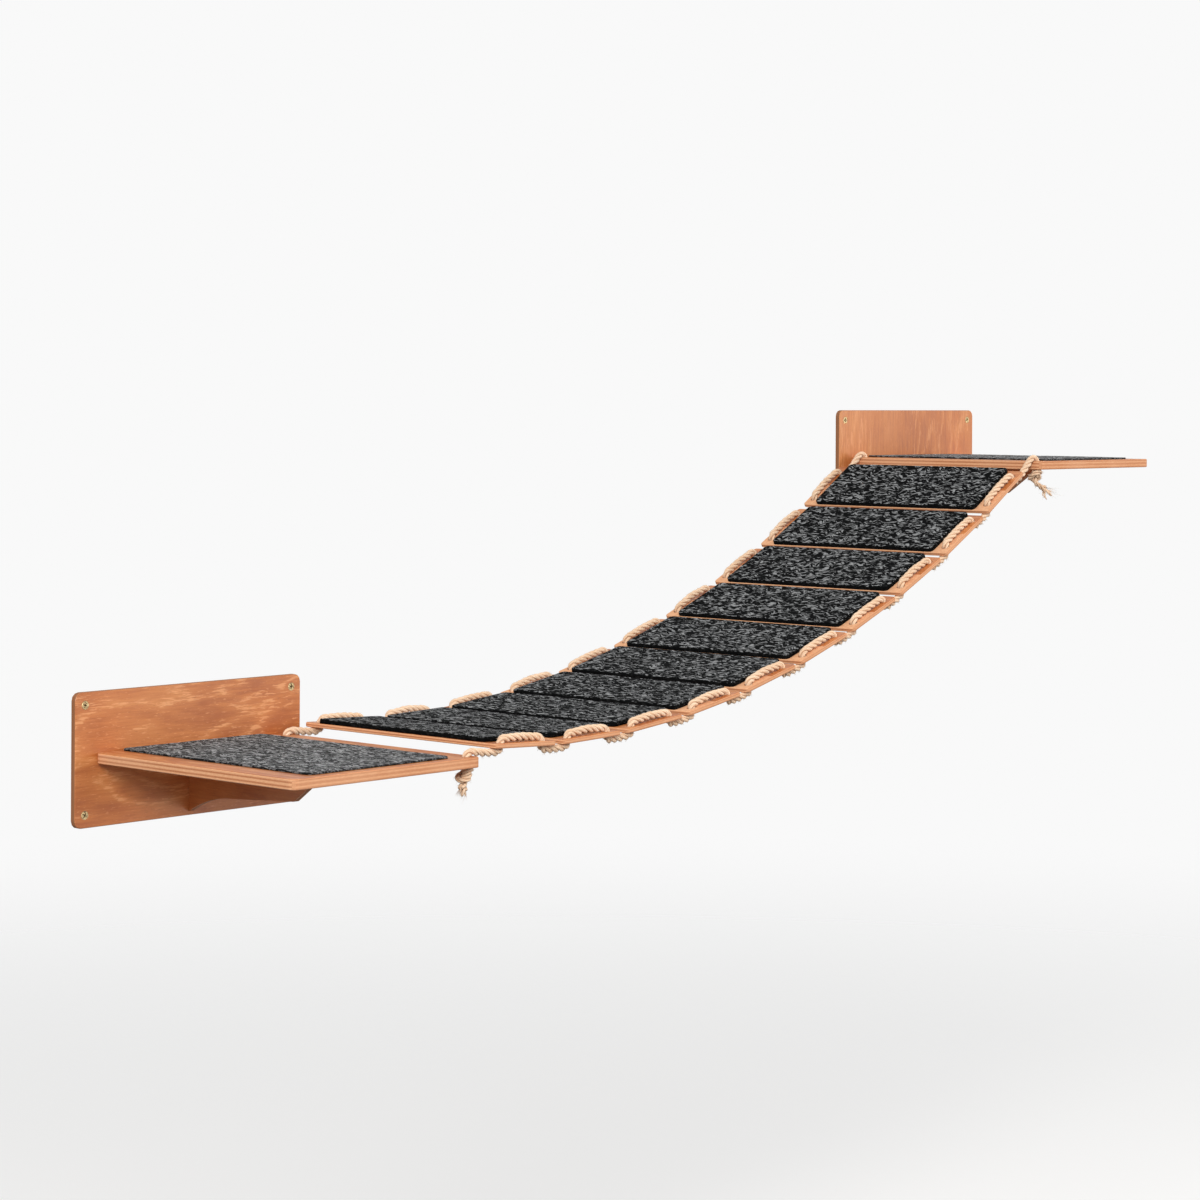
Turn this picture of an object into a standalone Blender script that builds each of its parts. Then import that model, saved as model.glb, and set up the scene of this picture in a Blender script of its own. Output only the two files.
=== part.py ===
"""Cat wall bridge: two plywood wall shelves with a laced bridge of felted slats hung between them.

Metres, +Z up. The wall is the plane Y = 0 and the bridge stands out from it towards -Y. The origin is
the middle of the lower shelf's back plate, on the wall. The lower shelf is on the left, the upper one
on the right, and two ropes carry the slats from one to the other.
"""

import math

import bmesh
import bpy
from mathutils import Matrix, Vector

# Fits
SEAT_GAP = 0.0003
CUT_OVERRUN = 0.002

# Back plate
PLATE_WIDTH = 0.300
PLATE_HEIGHT = 0.136
PLATE_THICKNESS = 0.0065
PLATE_CORNER_RADIUS = 0.008

# Shelf board
BOARD_SIDE_SETBACK = 0.025
BOARD_DEPTH = 0.297
BOARD_THICKNESS = 0.0105
BOARD_CORNER_RADIUS = 0.007
BOARD_TOP_ABOVE_MIDDLE = 0.0065

# Gusset under the board: a tapering rib that deepens to the plate in one hollow arc, with a slanted nose
GUSSET_THICKNESS = 0.0065
GUSSET_REACH = 0.2095
GUSSET_RIB_DEPTH = 0.0408
GUSSET_TIP_DEPTH = 0.0346
GUSSET_FOOT_MARGIN = 0.004
GUSSET_ARC_RUN = 0.062
GUSSET_NOSE_RUN = 0.048
GUSSET_NOSE_RADIUS = 0.003

# Sanded edges of all plywood
PLY_EDGE = 0.0008

# Felt
SHELF_FELT_THICKNESS = 0.002
SHELF_FELT_SIDE_MARGIN = 0.031
SHELF_FELT_FRONT_MARGIN = 0.012
SHELF_FELT_BACK_MARGIN = 0.0015
SHELF_FELT_CORNER_RADIUS = 0.008
SLAT_FELT_THICKNESS = 0.005
SLAT_FELT_END_MARGIN = 0.0205
SLAT_FELT_SIDE_MARGIN = 0.0005
SLAT_FELT_CORNER_RADIUS = 0.005

# Screws, all countersunk
WALL_SCREW_LENGTH = 0.016
WALL_SCREW_DIAMETER = 0.0045
WALL_SCREW_HEAD_DIAMETER = 0.0088
WALL_SCREW_INSET = 0.013
JOINT_SCREW_LENGTH = 0.030
JOINT_SCREW_DIAMETER = 0.003
JOINT_SCREW_HEAD_DIAMETER = 0.006
BOARD_SCREW_SPREAD_SHARE = 0.6
GUSSET_BACK_SCREW_DEPTHS = (0.014, 0.046)
GUSSET_TOP_SCREW_REACHES = (0.055, 0.155)
SCREW_TIP_SHARE = 1.2

# Slats
SLAT_COUNT = 10
SLATS_ON_LOWER_CHAIN = 5
SLAT_WIDTH = 0.089
SLAT_GAP = 0.011
SLAT_THICKNESS = 0.005
SLAT_CORNER_RADIUS = 0.004
SLAT_END_SETBACK = 0.005
BRIDGE_FORWARD = 0.001

# Hang of the bridge: an evenly loaded chain, whose slope grows by one step from slat to slat
FIRST_SLAT_SLOPE_SHARE = -0.044
SLOPE_STEP_SHARE = 0.0745
LOWER_ROPE_RUN = 0.0195
LOWER_ROPE_DROP = 0.0045
UPPER_ROPE_RUN = 0.0235
UPPER_ROPE_RISE = 0.0225

# Rope
ROPE_DIAMETER = 0.008
ROPE_HOLE_CLEARANCE = 0.001
ROPE_STANDOFF = 0.0003
ROPE_CREST = 0.0012
ROPE_END_INSET = 0.0095
ROPE_HOLE_EDGE_INSET = 0.014
SHELF_HOLE_EDGE_INSET = 0.009
SHELF_ROPE_PUFF = 0.0015
ROPE_BEND_SHARE = 0.6875
KNOT_DIAMETER = 0.018
KNOT_HEIGHT = 0.016

# Frayed tails: drop below the knot, lean away from the bridge, and flare of the tip
LOWER_TAIL_DROP = 0.013
LOWER_TAIL_LEAN = 0.005
LOWER_TAIL_FLARE_SHARE = 1.3
UPPER_TAIL_DROP = 0.018
UPPER_TAIL_LEAN = 0.020
UPPER_TAIL_FLARE_SHARE = 1.9

# Depth down a knot, and how far it has swollen there from the rope's radius to the knot's
KNOT_SHARES = ((0.04, 0.0), (0.24, 0.62), (0.54, 1.0), (0.82, 0.72), (1.0, 0.0))

# Facets
CORNER_STEPS = 3
HOLE_STEPS = 16
SCREW_STEPS = 12
GUSSET_ARC_STEPS = 12
NOSE_STEPS = 4
BEND_STEPS = 2
EDGE_WRAP_STEPS = 3
CREST_SHARES = (-0.5, 0.0, 0.5)
ROPE_BEVEL_RESOLUTION = 2

# Sizes that follow from the ones above
BOARD_WIDTH = PLATE_WIDTH - 2 * BOARD_SIDE_SETBACK
BOARD_BACK_Y = -(PLATE_THICKNESS + SEAT_GAP)
BOARD_FRONT_Y = BOARD_BACK_Y - BOARD_DEPTH
BOARD_MIDDLE_Y = (BOARD_BACK_Y + BOARD_FRONT_Y) / 2
BOARD_BOTTOM_Z = BOARD_TOP_ABOVE_MIDDLE - BOARD_THICKNESS
GUSSET_TOP_Z = BOARD_BOTTOM_Z - SEAT_GAP
GUSSET_ROOT_DEPTH = GUSSET_TOP_Z + PLATE_HEIGHT / 2 - GUSSET_FOOT_MARGIN
SLAT_LENGTH = BOARD_DEPTH - 2 * SLAT_END_SETBACK
SLAT_PITCH = SLAT_WIDTH + SLAT_GAP
BRIDGE_Y = BOARD_MIDDLE_Y - BRIDGE_FORWARD
ROPE_RADIUS = ROPE_DIAMETER / 2
ROPE_HOLE_RADIUS = ROPE_RADIUS + ROPE_HOLE_CLEARANCE
ROPE_BEND_RADIUS = ROPE_DIAMETER * ROPE_BEND_SHARE
ROPE_LIFT = ROPE_RADIUS + ROPE_STANDOFF
SHELF_ROPE_LIFT = ROPE_LIFT + SHELF_ROPE_PUFF
ROPE_SIDE = SLAT_LENGTH / 2 - ROPE_END_INSET
ROPE_HOLE_REACH = SLAT_WIDTH / 2 - ROPE_HOLE_EDGE_INSET
SLAT_ROPE_DEPTH = SLAT_THICKNESS + ROPE_LIFT


def empty_the_file():
    """Clear the objects that Blender starts with."""
    for obj in list(bpy.data.objects):
        bpy.data.objects.remove(obj, do_unlink=True)


def new_collection(name):
    collection = bpy.data.collections.new(name)
    bpy.context.scene.collection.children.link(collection)
    return collection


def new_material(name, colour, roughness, metallic=0.0):
    material = bpy.data.materials.new(name)
    material.use_nodes = True
    shader = material.node_tree.nodes["Principled BSDF"]
    shader.inputs["Base Color"].default_value = (*colour, 1.0)
    shader.inputs["Roughness"].default_value = roughness
    shader.inputs["Metallic"].default_value = metallic
    material.diffuse_color = (*colour, 1.0)
    return material


def new_empty(name, collection, parent, location, tilt=0.0):
    """An empty that carries pieces. A positive tilt lifts its +X end."""
    empty = bpy.data.objects.new(name, None)
    empty.parent = parent
    empty.location = location
    empty.rotation_euler = (0, -tilt, 0)
    collection.objects.link(empty)
    return empty


def new_piece(name, mesh, material, collection, parent=None, location=(0, 0, 0)):
    piece = bpy.data.objects.new(name, mesh)
    mesh.materials.clear()
    mesh.materials.append(material)
    piece.parent = parent
    piece.location = location
    collection.objects.link(piece)
    return piece


def mesh_from(name, bm):
    bmesh.ops.recalc_face_normals(bm, faces=bm.faces)
    mesh = bpy.data.meshes.new(name)
    bm.to_mesh(mesh)
    bm.free()
    return mesh


def evaluated_mesh(obj):
    """The object's mesh with its modifiers applied. The object itself is removed."""
    bpy.context.view_layer.update()
    graph = bpy.context.evaluated_depsgraph_get()
    mesh = bpy.data.meshes.new_from_object(obj.evaluated_get(graph))
    bpy.data.objects.remove(obj, do_unlink=True)
    return mesh


def sheet_mesh(name, size, corner_radius, edge=0.0):
    """A flat board or pad about the origin, with round corners seen from above and sanded edges."""
    bm = bmesh.new()
    bmesh.ops.create_cube(bm, size=1.0)
    bmesh.ops.scale(bm, vec=size, verts=bm.verts)
    uprights = [e for e in bm.edges if abs(e.verts[0].co.z - e.verts[1].co.z) > size[2] / 2]
    bmesh.ops.bevel(
        bm, geom=uprights, offset=corner_radius, segments=CORNER_STEPS, profile=0.5, affect="EDGES"
    )
    if edge:
        rims = [e for e in bm.edges if abs(e.verts[0].co.z - e.verts[1].co.z) < size[2] / 2]
        bmesh.ops.bevel(bm, geom=rims, offset=edge, segments=1, affect="EDGES")
    return mesh_from(name, bm)


def drill_mesh(name, places, radius, length):
    """Upright drills about the given places, for one cut of several holes."""
    bm = bmesh.new()
    for place in places:
        bmesh.ops.create_cone(
            bm,
            cap_ends=True,
            segments=HOLE_STEPS,
            radius1=radius,
            radius2=radius,
            depth=length,
            matrix=Matrix.Translation(place),
        )
    return mesh_from(name, bm)


def cut(target, cutter):
    modifier = target.modifiers.new("cut_" + cutter.name, "BOOLEAN")
    modifier.operation = "DIFFERENCE"
    modifier.solver = "EXACT"
    modifier.object = cutter


def new_cutter(name, mesh, collection, parent=None, location=(0, 0, 0)):
    cutter = bpy.data.objects.new(name, mesh)
    cutter.parent = parent
    cutter.location = location
    cutter.hide_render = True
    cutter.display_type = "WIRE"
    collection.objects.link(cutter)
    return cutter


def screw_mesh(name, length, diameter, head_diameter, clearance=0.0, overrun=0.0):
    """A countersunk screw, its head's flat face at the origin and its point down.

    With a clearance it is the seat that such a screw is driven into, open above the head.
    """
    shank = diameter / 2 + clearance
    head = head_diameter / 2 + clearance
    head_depth = head - shank
    tip_depth = diameter * SCREW_TIP_SHARE
    profile = [
        (0, overrun),
        (head, overrun),
        (head, 0),
        (shank, -head_depth),
        (shank, -(length - tip_depth)),
        (0, -(length + clearance)),
    ]
    if not overrun:
        profile.pop(1)
    mesh = bpy.data.meshes.new(name)
    mesh.from_pydata(
        [(r, 0, z) for r, z in profile],
        [(i, i + 1) for i in range(len(profile) - 1)],
        [],
    )
    turned = bpy.data.objects.new(name, mesh)
    bpy.context.scene.collection.objects.link(turned)
    turn = turned.modifiers.new("turn", "SCREW")
    turn.steps = SCREW_STEPS
    turn.render_steps = SCREW_STEPS
    turn.use_merge_vertices = True
    turn.merge_threshold = 0.00001
    return evaluated_mesh(turned)


def repeated_mesh(name, mesh, places):
    """One mesh that holds a copy of another at each of the given matrices."""
    bm = bmesh.new()
    for place in places:
        copy = mesh.copy()
        copy.transform(place)
        bm.from_mesh(copy)
        bpy.data.meshes.remove(copy)
    return mesh_from(name, bm)


def wall_screw_places():
    """Heads flush with the plate's front, near its corners."""
    x = PLATE_WIDTH / 2 - WALL_SCREW_INSET
    z = PLATE_HEIGHT / 2 - WALL_SCREW_INSET
    turn = Matrix.Rotation(math.radians(90), 4, "X")
    return [
        Matrix.Translation((side * x, -PLATE_THICKNESS, level * z)) @ turn
        for side in (-1, 1)
        for level in (-1, 1)
    ]


def joint_screw_places():
    """From behind the plate into the board and the gusset, and down through the board into the gusset."""
    back = Matrix.Rotation(math.radians(-90), 4, "X")
    board_z = (BOARD_TOP_ABOVE_MIDDLE + BOARD_BOTTOM_Z) / 2
    spread = BOARD_WIDTH * BOARD_SCREW_SPREAD_SHARE
    places = [Matrix.Translation((side * spread / 2, 0, board_z)) @ back for side in (-1, 1)]
    places += [
        Matrix.Translation((0, 0, GUSSET_TOP_Z - depth)) @ back for depth in GUSSET_BACK_SCREW_DEPTHS
    ]
    places += [
        Matrix.Translation((0, BOARD_BACK_Y - reach, BOARD_TOP_ABOVE_MIDDLE))
        for reach in GUSSET_TOP_SCREW_REACHES
    ]
    return places


def arc(middle, radius, start, end, steps):
    """Points along an arc, its angles in degrees from the first axis towards the second."""
    points = []
    for step in range(steps + 1):
        angle = math.radians(start + (end - start) * step / steps)
        points.append((middle[0] + radius * math.cos(angle), middle[1] + radius * math.sin(angle)))
    return points


def gusset_outline():
    """The gusset seen from the side, as (distance from its back edge, height under the board)."""
    tip = (GUSSET_REACH - GUSSET_NOSE_RUN, -GUSSET_TIP_DEPTH)
    taper = math.atan2(GUSSET_RIB_DEPTH - GUSSET_TIP_DEPTH, tip[0] - GUSSET_ARC_RUN)
    drop = GUSSET_ROOT_DEPTH - GUSSET_RIB_DEPTH
    chord = math.hypot(GUSSET_ARC_RUN, drop)
    half_sweep = math.atan2(drop, GUSSET_ARC_RUN) - taper
    radius = chord / (2 * math.sin(half_sweep))
    hollow_middle = (
        GUSSET_ARC_RUN + radius * math.sin(taper),
        -GUSSET_RIB_DEPTH - radius * math.cos(taper),
    )
    arc_end = 90 + math.degrees(taper)
    arc_start = arc_end + math.degrees(2 * half_sweep)
    hollow = arc(hollow_middle, radius, arc_start, arc_end, GUSSET_ARC_STEPS)

    slant = math.atan2(GUSSET_TIP_DEPTH, GUSSET_NOSE_RUN)
    half_turn = (slant - taper) / 2
    to_middle = GUSSET_NOSE_RADIUS / math.cos(half_turn)
    inward = (slant + taper) / 2 + math.pi / 2
    nose_middle = (tip[0] + to_middle * math.cos(inward), tip[1] + to_middle * math.sin(inward))
    nose = arc(
        nose_middle,
        GUSSET_NOSE_RADIUS,
        math.degrees(taper) - 90,
        math.degrees(slant) - 90,
        NOSE_STEPS,
    )
    return [(0, 0), *hollow, *nose, (GUSSET_REACH, 0)]


def gusset_mesh(name):
    """A flat outline given the thickness of its plywood, standing square to the wall."""
    curve = bpy.data.curves.new(name, "CURVE")
    curve.dimensions = "2D"
    curve.fill_mode = "BOTH"
    curve.extrude = GUSSET_THICKNESS / 2
    outline = gusset_outline()
    spline = curve.splines.new("POLY")
    spline.points.add(len(outline) - 1)
    for point, (reach, height) in zip(spline.points, outline):
        point.co = (reach, height, 0, 1)
    spline.use_cyclic_u = True
    flat = bpy.data.objects.new(name, curve)
    bpy.context.scene.collection.objects.link(flat)
    mesh = evaluated_mesh(flat)
    bm = bmesh.new()
    bm.from_mesh(mesh)
    bmesh.ops.remove_doubles(bm, verts=bm.verts, dist=0.00001)
    turn = Matrix.Rotation(math.radians(-90), 4, "Z") @ Matrix.Rotation(math.radians(90), 4, "X")
    bmesh.ops.transform(bm, matrix=turn, verts=bm.verts)
    return mesh_from(name, bm)


class Shelf:
    """A back plate, a board, a gusset and a felt pad. The bridge hangs from the board's +X or -X side."""

    def __init__(self, name, middle, bridge_side, parts, cutters, finishes):
        self.name = name
        self.bridge_side = bridge_side
        self.parts = parts
        self.cutters = cutters
        self.finishes = finishes
        self.base = new_empty(name + "_shelf", parts, None, middle)

    def piece(self, name, mesh, finish, location=(0, 0, 0)):
        return new_piece(
            f"{self.name}_{name}", mesh, self.finishes[finish], self.parts, self.base, location
        )

    def build(self):
        wall_screw = (WALL_SCREW_LENGTH, WALL_SCREW_DIAMETER, WALL_SCREW_HEAD_DIAMETER)
        joint_screw = (JOINT_SCREW_LENGTH, JOINT_SCREW_DIAMETER, JOINT_SCREW_HEAD_DIAMETER)
        self.screws("wall_screw", "brass", wall_screw, wall_screw_places())
        self.screws("joint_screw", "steel", joint_screw, joint_screw_places())
        wall_seats = self.screw_seats("wall_screw_seats", wall_screw, wall_screw_places())
        joint_seats = self.screw_seats("joint_screw_seats", joint_screw, joint_screw_places())

        plate = self.piece(
            "back_plate",
            self.plate_mesh(),
            "plywood",
            (0, -PLATE_THICKNESS / 2, 0),
        )
        board = self.piece(
            "shelf_board",
            sheet_mesh("board", (BOARD_WIDTH, BOARD_DEPTH, BOARD_THICKNESS), BOARD_CORNER_RADIUS, PLY_EDGE),
            "plywood",
            (0, BOARD_MIDDLE_Y, BOARD_TOP_ABOVE_MIDDLE - BOARD_THICKNESS / 2),
        )
        gusset = self.piece(
            "gusset", gusset_mesh("gusset"), "plywood", (0, BOARD_BACK_Y, GUSSET_TOP_Z)
        )
        cut(plate, wall_seats)
        for piece in (plate, board, gusset):
            cut(piece, joint_seats)
        cut(board, self.rope_drill())
        self.felt()

    def plate_mesh(self):
        """The plate stands up, so its flat blank is tipped onto its long edge."""
        mesh = sheet_mesh(
            "plate", (PLATE_WIDTH, PLATE_HEIGHT, PLATE_THICKNESS), PLATE_CORNER_RADIUS, PLY_EDGE
        )
        mesh.transform(Matrix.Rotation(math.radians(90), 4, "X"))
        return mesh

    def screws(self, name, finish, size, places):
        mesh = screw_mesh(name, *size)
        for number, place in enumerate(places, start=1):
            screw = self.piece(f"{name}_{number}", mesh, finish)
            screw.matrix_local = place

    def screw_seats(self, name, size, places):
        single = screw_mesh(name, *size, clearance=SEAT_GAP, overrun=CUT_OVERRUN)
        mesh = repeated_mesh(name, single, places)
        bpy.data.meshes.remove(single)
        return new_cutter(f"{self.name}_{name}", mesh, self.cutters, self.base)

    def rope_drill(self):
        """Two holes through the board, in line with the bridge's two ropes."""
        x = self.bridge_side * (BOARD_WIDTH / 2 - SHELF_HOLE_EDGE_INSET)
        middle_z = BOARD_TOP_ABOVE_MIDDLE - BOARD_THICKNESS / 2
        places = [(x, BRIDGE_Y + side * ROPE_SIDE, middle_z) for side in (-1, 1)]
        mesh = drill_mesh("rope_drill", places, ROPE_HOLE_RADIUS, BOARD_THICKNESS + 2 * CUT_OVERRUN)
        return new_cutter(f"{self.name}_rope_drill", mesh, self.cutters, self.base)

    def felt(self):
        width = BOARD_WIDTH - 2 * SHELF_FELT_SIDE_MARGIN
        front = BOARD_FRONT_Y + SHELF_FELT_FRONT_MARGIN
        back = BOARD_BACK_Y - SHELF_FELT_BACK_MARGIN
        size = (width, back - front, SHELF_FELT_THICKNESS)
        mesh = sheet_mesh("shelf_felt", size, SHELF_FELT_CORNER_RADIUS)
        middle_z = BOARD_TOP_ABOVE_MIDDLE + SEAT_GAP + SHELF_FELT_THICKNESS / 2
        self.piece("shelf_felt", mesh, "felt", (0, (front + back) / 2, middle_z))


class Hang:
    """Where the chain of slats lies, in the upright plane that it hangs in."""

    def __init__(self):
        self.tilts = [
            math.atan(FIRST_SLAT_SLOPE_SHARE + SLOPE_STEP_SHARE * slat) for slat in range(SLAT_COUNT)
        ]
        edge = BOARD_WIDTH / 2
        over = BOARD_TOP_ABOVE_MIDDLE + SHELF_ROPE_LIFT
        self.pivots = [(edge + LOWER_ROPE_RUN, over - LOWER_ROPE_DROP)]
        for tilt in self.tilts:
            x, z = self.pivots[-1]
            self.pivots.append((x + SLAT_PITCH * math.cos(tilt), z + SLAT_PITCH * math.sin(tilt)))
        last_x, last_z = self.pivots[-1]
        self.lower_middle = Vector((0, 0, 0))
        self.upper_middle = Vector(
            (last_x + UPPER_ROPE_RUN + edge, 0, last_z + UPPER_ROPE_RISE - over)
        )

    def on_slat(self, slat, along, up):
        """A point given along and above a slat's upper wooden face, from the face's middle."""
        tilt = self.tilts[slat]
        x, z = self.pivots[slat]
        along += SLAT_PITCH / 2
        up += SLAT_ROPE_DEPTH
        return (
            x + along * math.cos(tilt) - up * math.sin(tilt),
            z + along * math.sin(tilt) + up * math.cos(tilt),
        )


def slat_mesh():
    """A thin plank with two rope holes at each end."""
    blank = bpy.data.objects.new(
        "slat_blank",
        sheet_mesh("slat", (SLAT_WIDTH, SLAT_LENGTH, SLAT_THICKNESS), SLAT_CORNER_RADIUS, PLY_EDGE),
    )
    bpy.context.scene.collection.objects.link(blank)
    places = [
        (along * ROPE_HOLE_REACH, side * ROPE_SIDE, 0) for along in (-1, 1) for side in (-1, 1)
    ]
    drill = new_cutter(
        "slat_drill",
        drill_mesh("slat_drill", places, ROPE_HOLE_RADIUS, SLAT_THICKNESS + 2 * CUT_OVERRUN),
        bpy.context.scene.collection,
    )
    cut(blank, drill)
    mesh = evaluated_mesh(blank)
    bpy.data.objects.remove(drill, do_unlink=True)
    return mesh


def build_slats(hang, parts, finishes, lower_base, upper_base):
    """Slats and their felt, hung one from another: the first ones from the lower shelf, the rest from the upper.

    Each slat rides on an empty at its hinge, which is the point of the rope midway to its neighbour.
    """
    wood = slat_mesh()
    pad_size = (
        SLAT_WIDTH - 2 * SLAT_FELT_SIDE_MARGIN,
        SLAT_LENGTH - 2 * SLAT_FELT_END_MARGIN,
        SLAT_FELT_THICKNESS,
    )
    pad = sheet_mesh("slat_felt", pad_size, SLAT_FELT_CORNER_RADIUS)
    lower = range(SLATS_ON_LOWER_CHAIN)
    upper = range(SLAT_COUNT - 1, SLATS_ON_LOWER_CHAIN - 1, -1)
    for chain, base, reach in ((lower, lower_base, 1), (upper, upper_base, -1)):
        parent = base
        parent_tilt = 0.0
        for slat in chain:
            x, z = hang.pivots[slat if reach > 0 else slat + 1]
            if parent is base:
                place = (x - base.location.x, BRIDGE_Y, z - base.location.z)
            else:
                place = (reach * SLAT_PITCH, 0, 0)
            tilt = hang.tilts[slat]
            hinge = new_empty(f"slat_{slat + 1:02d}_hinge", parts, parent, place, tilt - parent_tilt)
            wood_z = SLAT_ROPE_DEPTH - SLAT_THICKNESS / 2
            felt_z = SLAT_ROPE_DEPTH + SEAT_GAP + SLAT_FELT_THICKNESS / 2
            middle_x = reach * SLAT_PITCH / 2
            new_piece(f"slat_{slat + 1:02d}", wood, finishes["plywood"], parts, hinge, (middle_x, 0, wood_z))
            new_piece(f"slat_felt_{slat + 1:02d}", pad, finishes["felt"], parts, hinge, (middle_x, 0, felt_z))
            parent = hinge
            parent_tilt = tilt


def slat_lacing():
    """The rope's way past one slat, as (along, up): up a hole, over the top, down the other and on underneath."""
    under = -SLAT_ROPE_DEPTH + ROPE_BEND_RADIUS
    over = ROPE_LIFT - ROPE_BEND_RADIUS
    rising = arc((-ROPE_HOLE_REACH - ROPE_BEND_RADIUS, under), ROPE_BEND_RADIUS, -90, 0, BEND_STEPS)
    rising += arc((-ROPE_HOLE_REACH + ROPE_BEND_RADIUS, over), ROPE_BEND_RADIUS, 180, 90, BEND_STEPS)
    flat = ROPE_HOLE_REACH - ROPE_BEND_RADIUS
    crest = [
        (flat * share, ROPE_LIFT + ROPE_CREST * math.cos(math.pi / 2 * share) ** 2)
        for share in CREST_SHARES
    ]
    falling = [(-along, up) for along, up in reversed(rising)]
    return rising + crest + falling


def edge_wrap(corner, far, from_above):
    """The rope's bend round a board's upper edge, from level down to where it leaves for a far point."""
    away_x, away_z = far[0] - corner[0], far[1] - corner[1]
    opening = math.degrees(math.acos(SHELF_ROPE_LIFT / math.hypot(away_x, away_z)))
    bearing = math.degrees(math.atan2(away_z, away_x)) % 360
    if bearing > 270:
        bearing -= 360
    leave = bearing + opening if bearing < 90 else bearing - opening
    bend = arc(corner, SHELF_ROPE_LIFT, 90, leave, EDGE_WRAP_STEPS)
    return bend if from_above else bend[::-1]


def rope_end(hole_x, top_z, outward, tail_drop, tail_lean, tail_flare):
    """The rope from the top of a board's hole down to its frayed tip, as (x, z, radius)."""
    bottom_z = top_z - BOARD_THICKNESS
    bend = arc(
        (-ROPE_BEND_RADIUS, SHELF_ROPE_LIFT - ROPE_BEND_RADIUS), ROPE_BEND_RADIUS, 90, 0, BEND_STEPS
    )
    points = [(hole_x + outward * x, top_z + z, ROPE_RADIUS) for x, z in bend]
    swell = KNOT_DIAMETER / 2 - ROPE_RADIUS
    for depth, share in KNOT_SHARES:
        points.append((hole_x, bottom_z - KNOT_HEIGHT * depth, ROPE_RADIUS + swell * share))
    tip_x = hole_x + outward * tail_lean
    points.append((tip_x, bottom_z - KNOT_HEIGHT - tail_drop, ROPE_RADIUS * tail_flare))
    return points


def rope_route(hang):
    """One rope from tip to tip, as (x, z, radius), in the upright plane through its holes."""
    top = BOARD_TOP_ABOVE_MIDDLE
    edge = BOARD_WIDTH / 2
    lower_corner = (edge, top)
    upper_corner = (hang.upper_middle.x - edge, hang.upper_middle.z + top)
    lower_end = rope_end(
        edge - SHELF_HOLE_EDGE_INSET,
        top,
        -1,
        LOWER_TAIL_DROP,
        LOWER_TAIL_LEAN,
        LOWER_TAIL_FLARE_SHARE,
    )
    upper_end = rope_end(
        upper_corner[0] + SHELF_HOLE_EDGE_INSET,
        upper_corner[1],
        1,
        UPPER_TAIL_DROP,
        UPPER_TAIL_LEAN,
        UPPER_TAIL_FLARE_SHARE,
    )
    span = edge_wrap(lower_corner, hang.pivots[0], True)
    for slat in range(SLAT_COUNT):
        span.append(hang.pivots[slat])
        span += [hang.on_slat(slat, along, up) for along, up in slat_lacing()]
    span.append(hang.pivots[-1])
    span += edge_wrap(upper_corner, hang.pivots[-1], False)
    return lower_end[::-1] + [(x, z, ROPE_RADIUS) for x, z in span] + upper_end


def build_rope(name, side, hang, parts, finishes):
    """A rope laced through one end of every slat and knotted under both boards."""
    curve = bpy.data.curves.new(name, "CURVE")
    curve.dimensions = "3D"
    curve.bevel_depth = 1.0
    curve.bevel_resolution = ROPE_BEVEL_RESOLUTION
    curve.use_fill_caps = True
    route = rope_route(hang)
    spline = curve.splines.new("POLY")
    spline.points.add(len(route) - 1)
    for point, (x, z, radius) in zip(spline.points, route):
        point.co = (x, 0, z, 1)
        point.radius = radius
    rope = new_piece(name, curve, finishes["rope"], parts, None, (0, BRIDGE_Y + side * ROPE_SIDE, 0))
    length = sum(math.dist(a[:2], b[:2]) for a, b in zip(route, route[1:]))
    print(f"{name}: {length:.3f} m of rope")
    return rope


def main():
    empty_the_file()
    parts = new_collection("cat_wall_bridge")
    cutters = new_collection("cutters")
    finishes = {
        "plywood": new_material("stained_plywood", (0.56, 0.22, 0.085), 0.55),
        "felt": new_material("charcoal_felt", (0.035, 0.038, 0.042), 0.95),
        "rope": new_material("jute_rope", (0.60, 0.42, 0.24), 0.9),
        "brass": new_material("brass_plated_screw", (0.62, 0.45, 0.18), 0.35, 1.0),
        "steel": new_material("zinc_plated_screw", (0.55, 0.55, 0.53), 0.4, 1.0),
    }
    hang = Hang()
    lower = Shelf("lower", hang.lower_middle, 1, parts, cutters, finishes)
    upper = Shelf("upper", hang.upper_middle, -1, parts, cutters, finishes)
    lower.build()
    upper.build()
    build_slats(hang, parts, finishes, lower.base, upper.base)
    build_rope("front_rope", -1, hang, parts, finishes)
    build_rope("rear_rope", 1, hang, parts, finishes)


main()
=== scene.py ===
"""Looks of a cat wall bridge: plywood shelves and slats, felt pads, laced jute ropes, screws and a studio.

Metres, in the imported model's own frame: +X along the wall from the lower shelf to the upper one, +Y into
the wall, +Z up. The wooden nodes keep their solids and get a finish. Felt, rope and screws are modelled here.
"""

import logging
import math
import random
from collections.abc import Sequence
from dataclasses import dataclass, field
from enum import Enum

import bmesh
import bpy
import numpy as np
from mathutils import Matrix, Vector, noise


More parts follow.
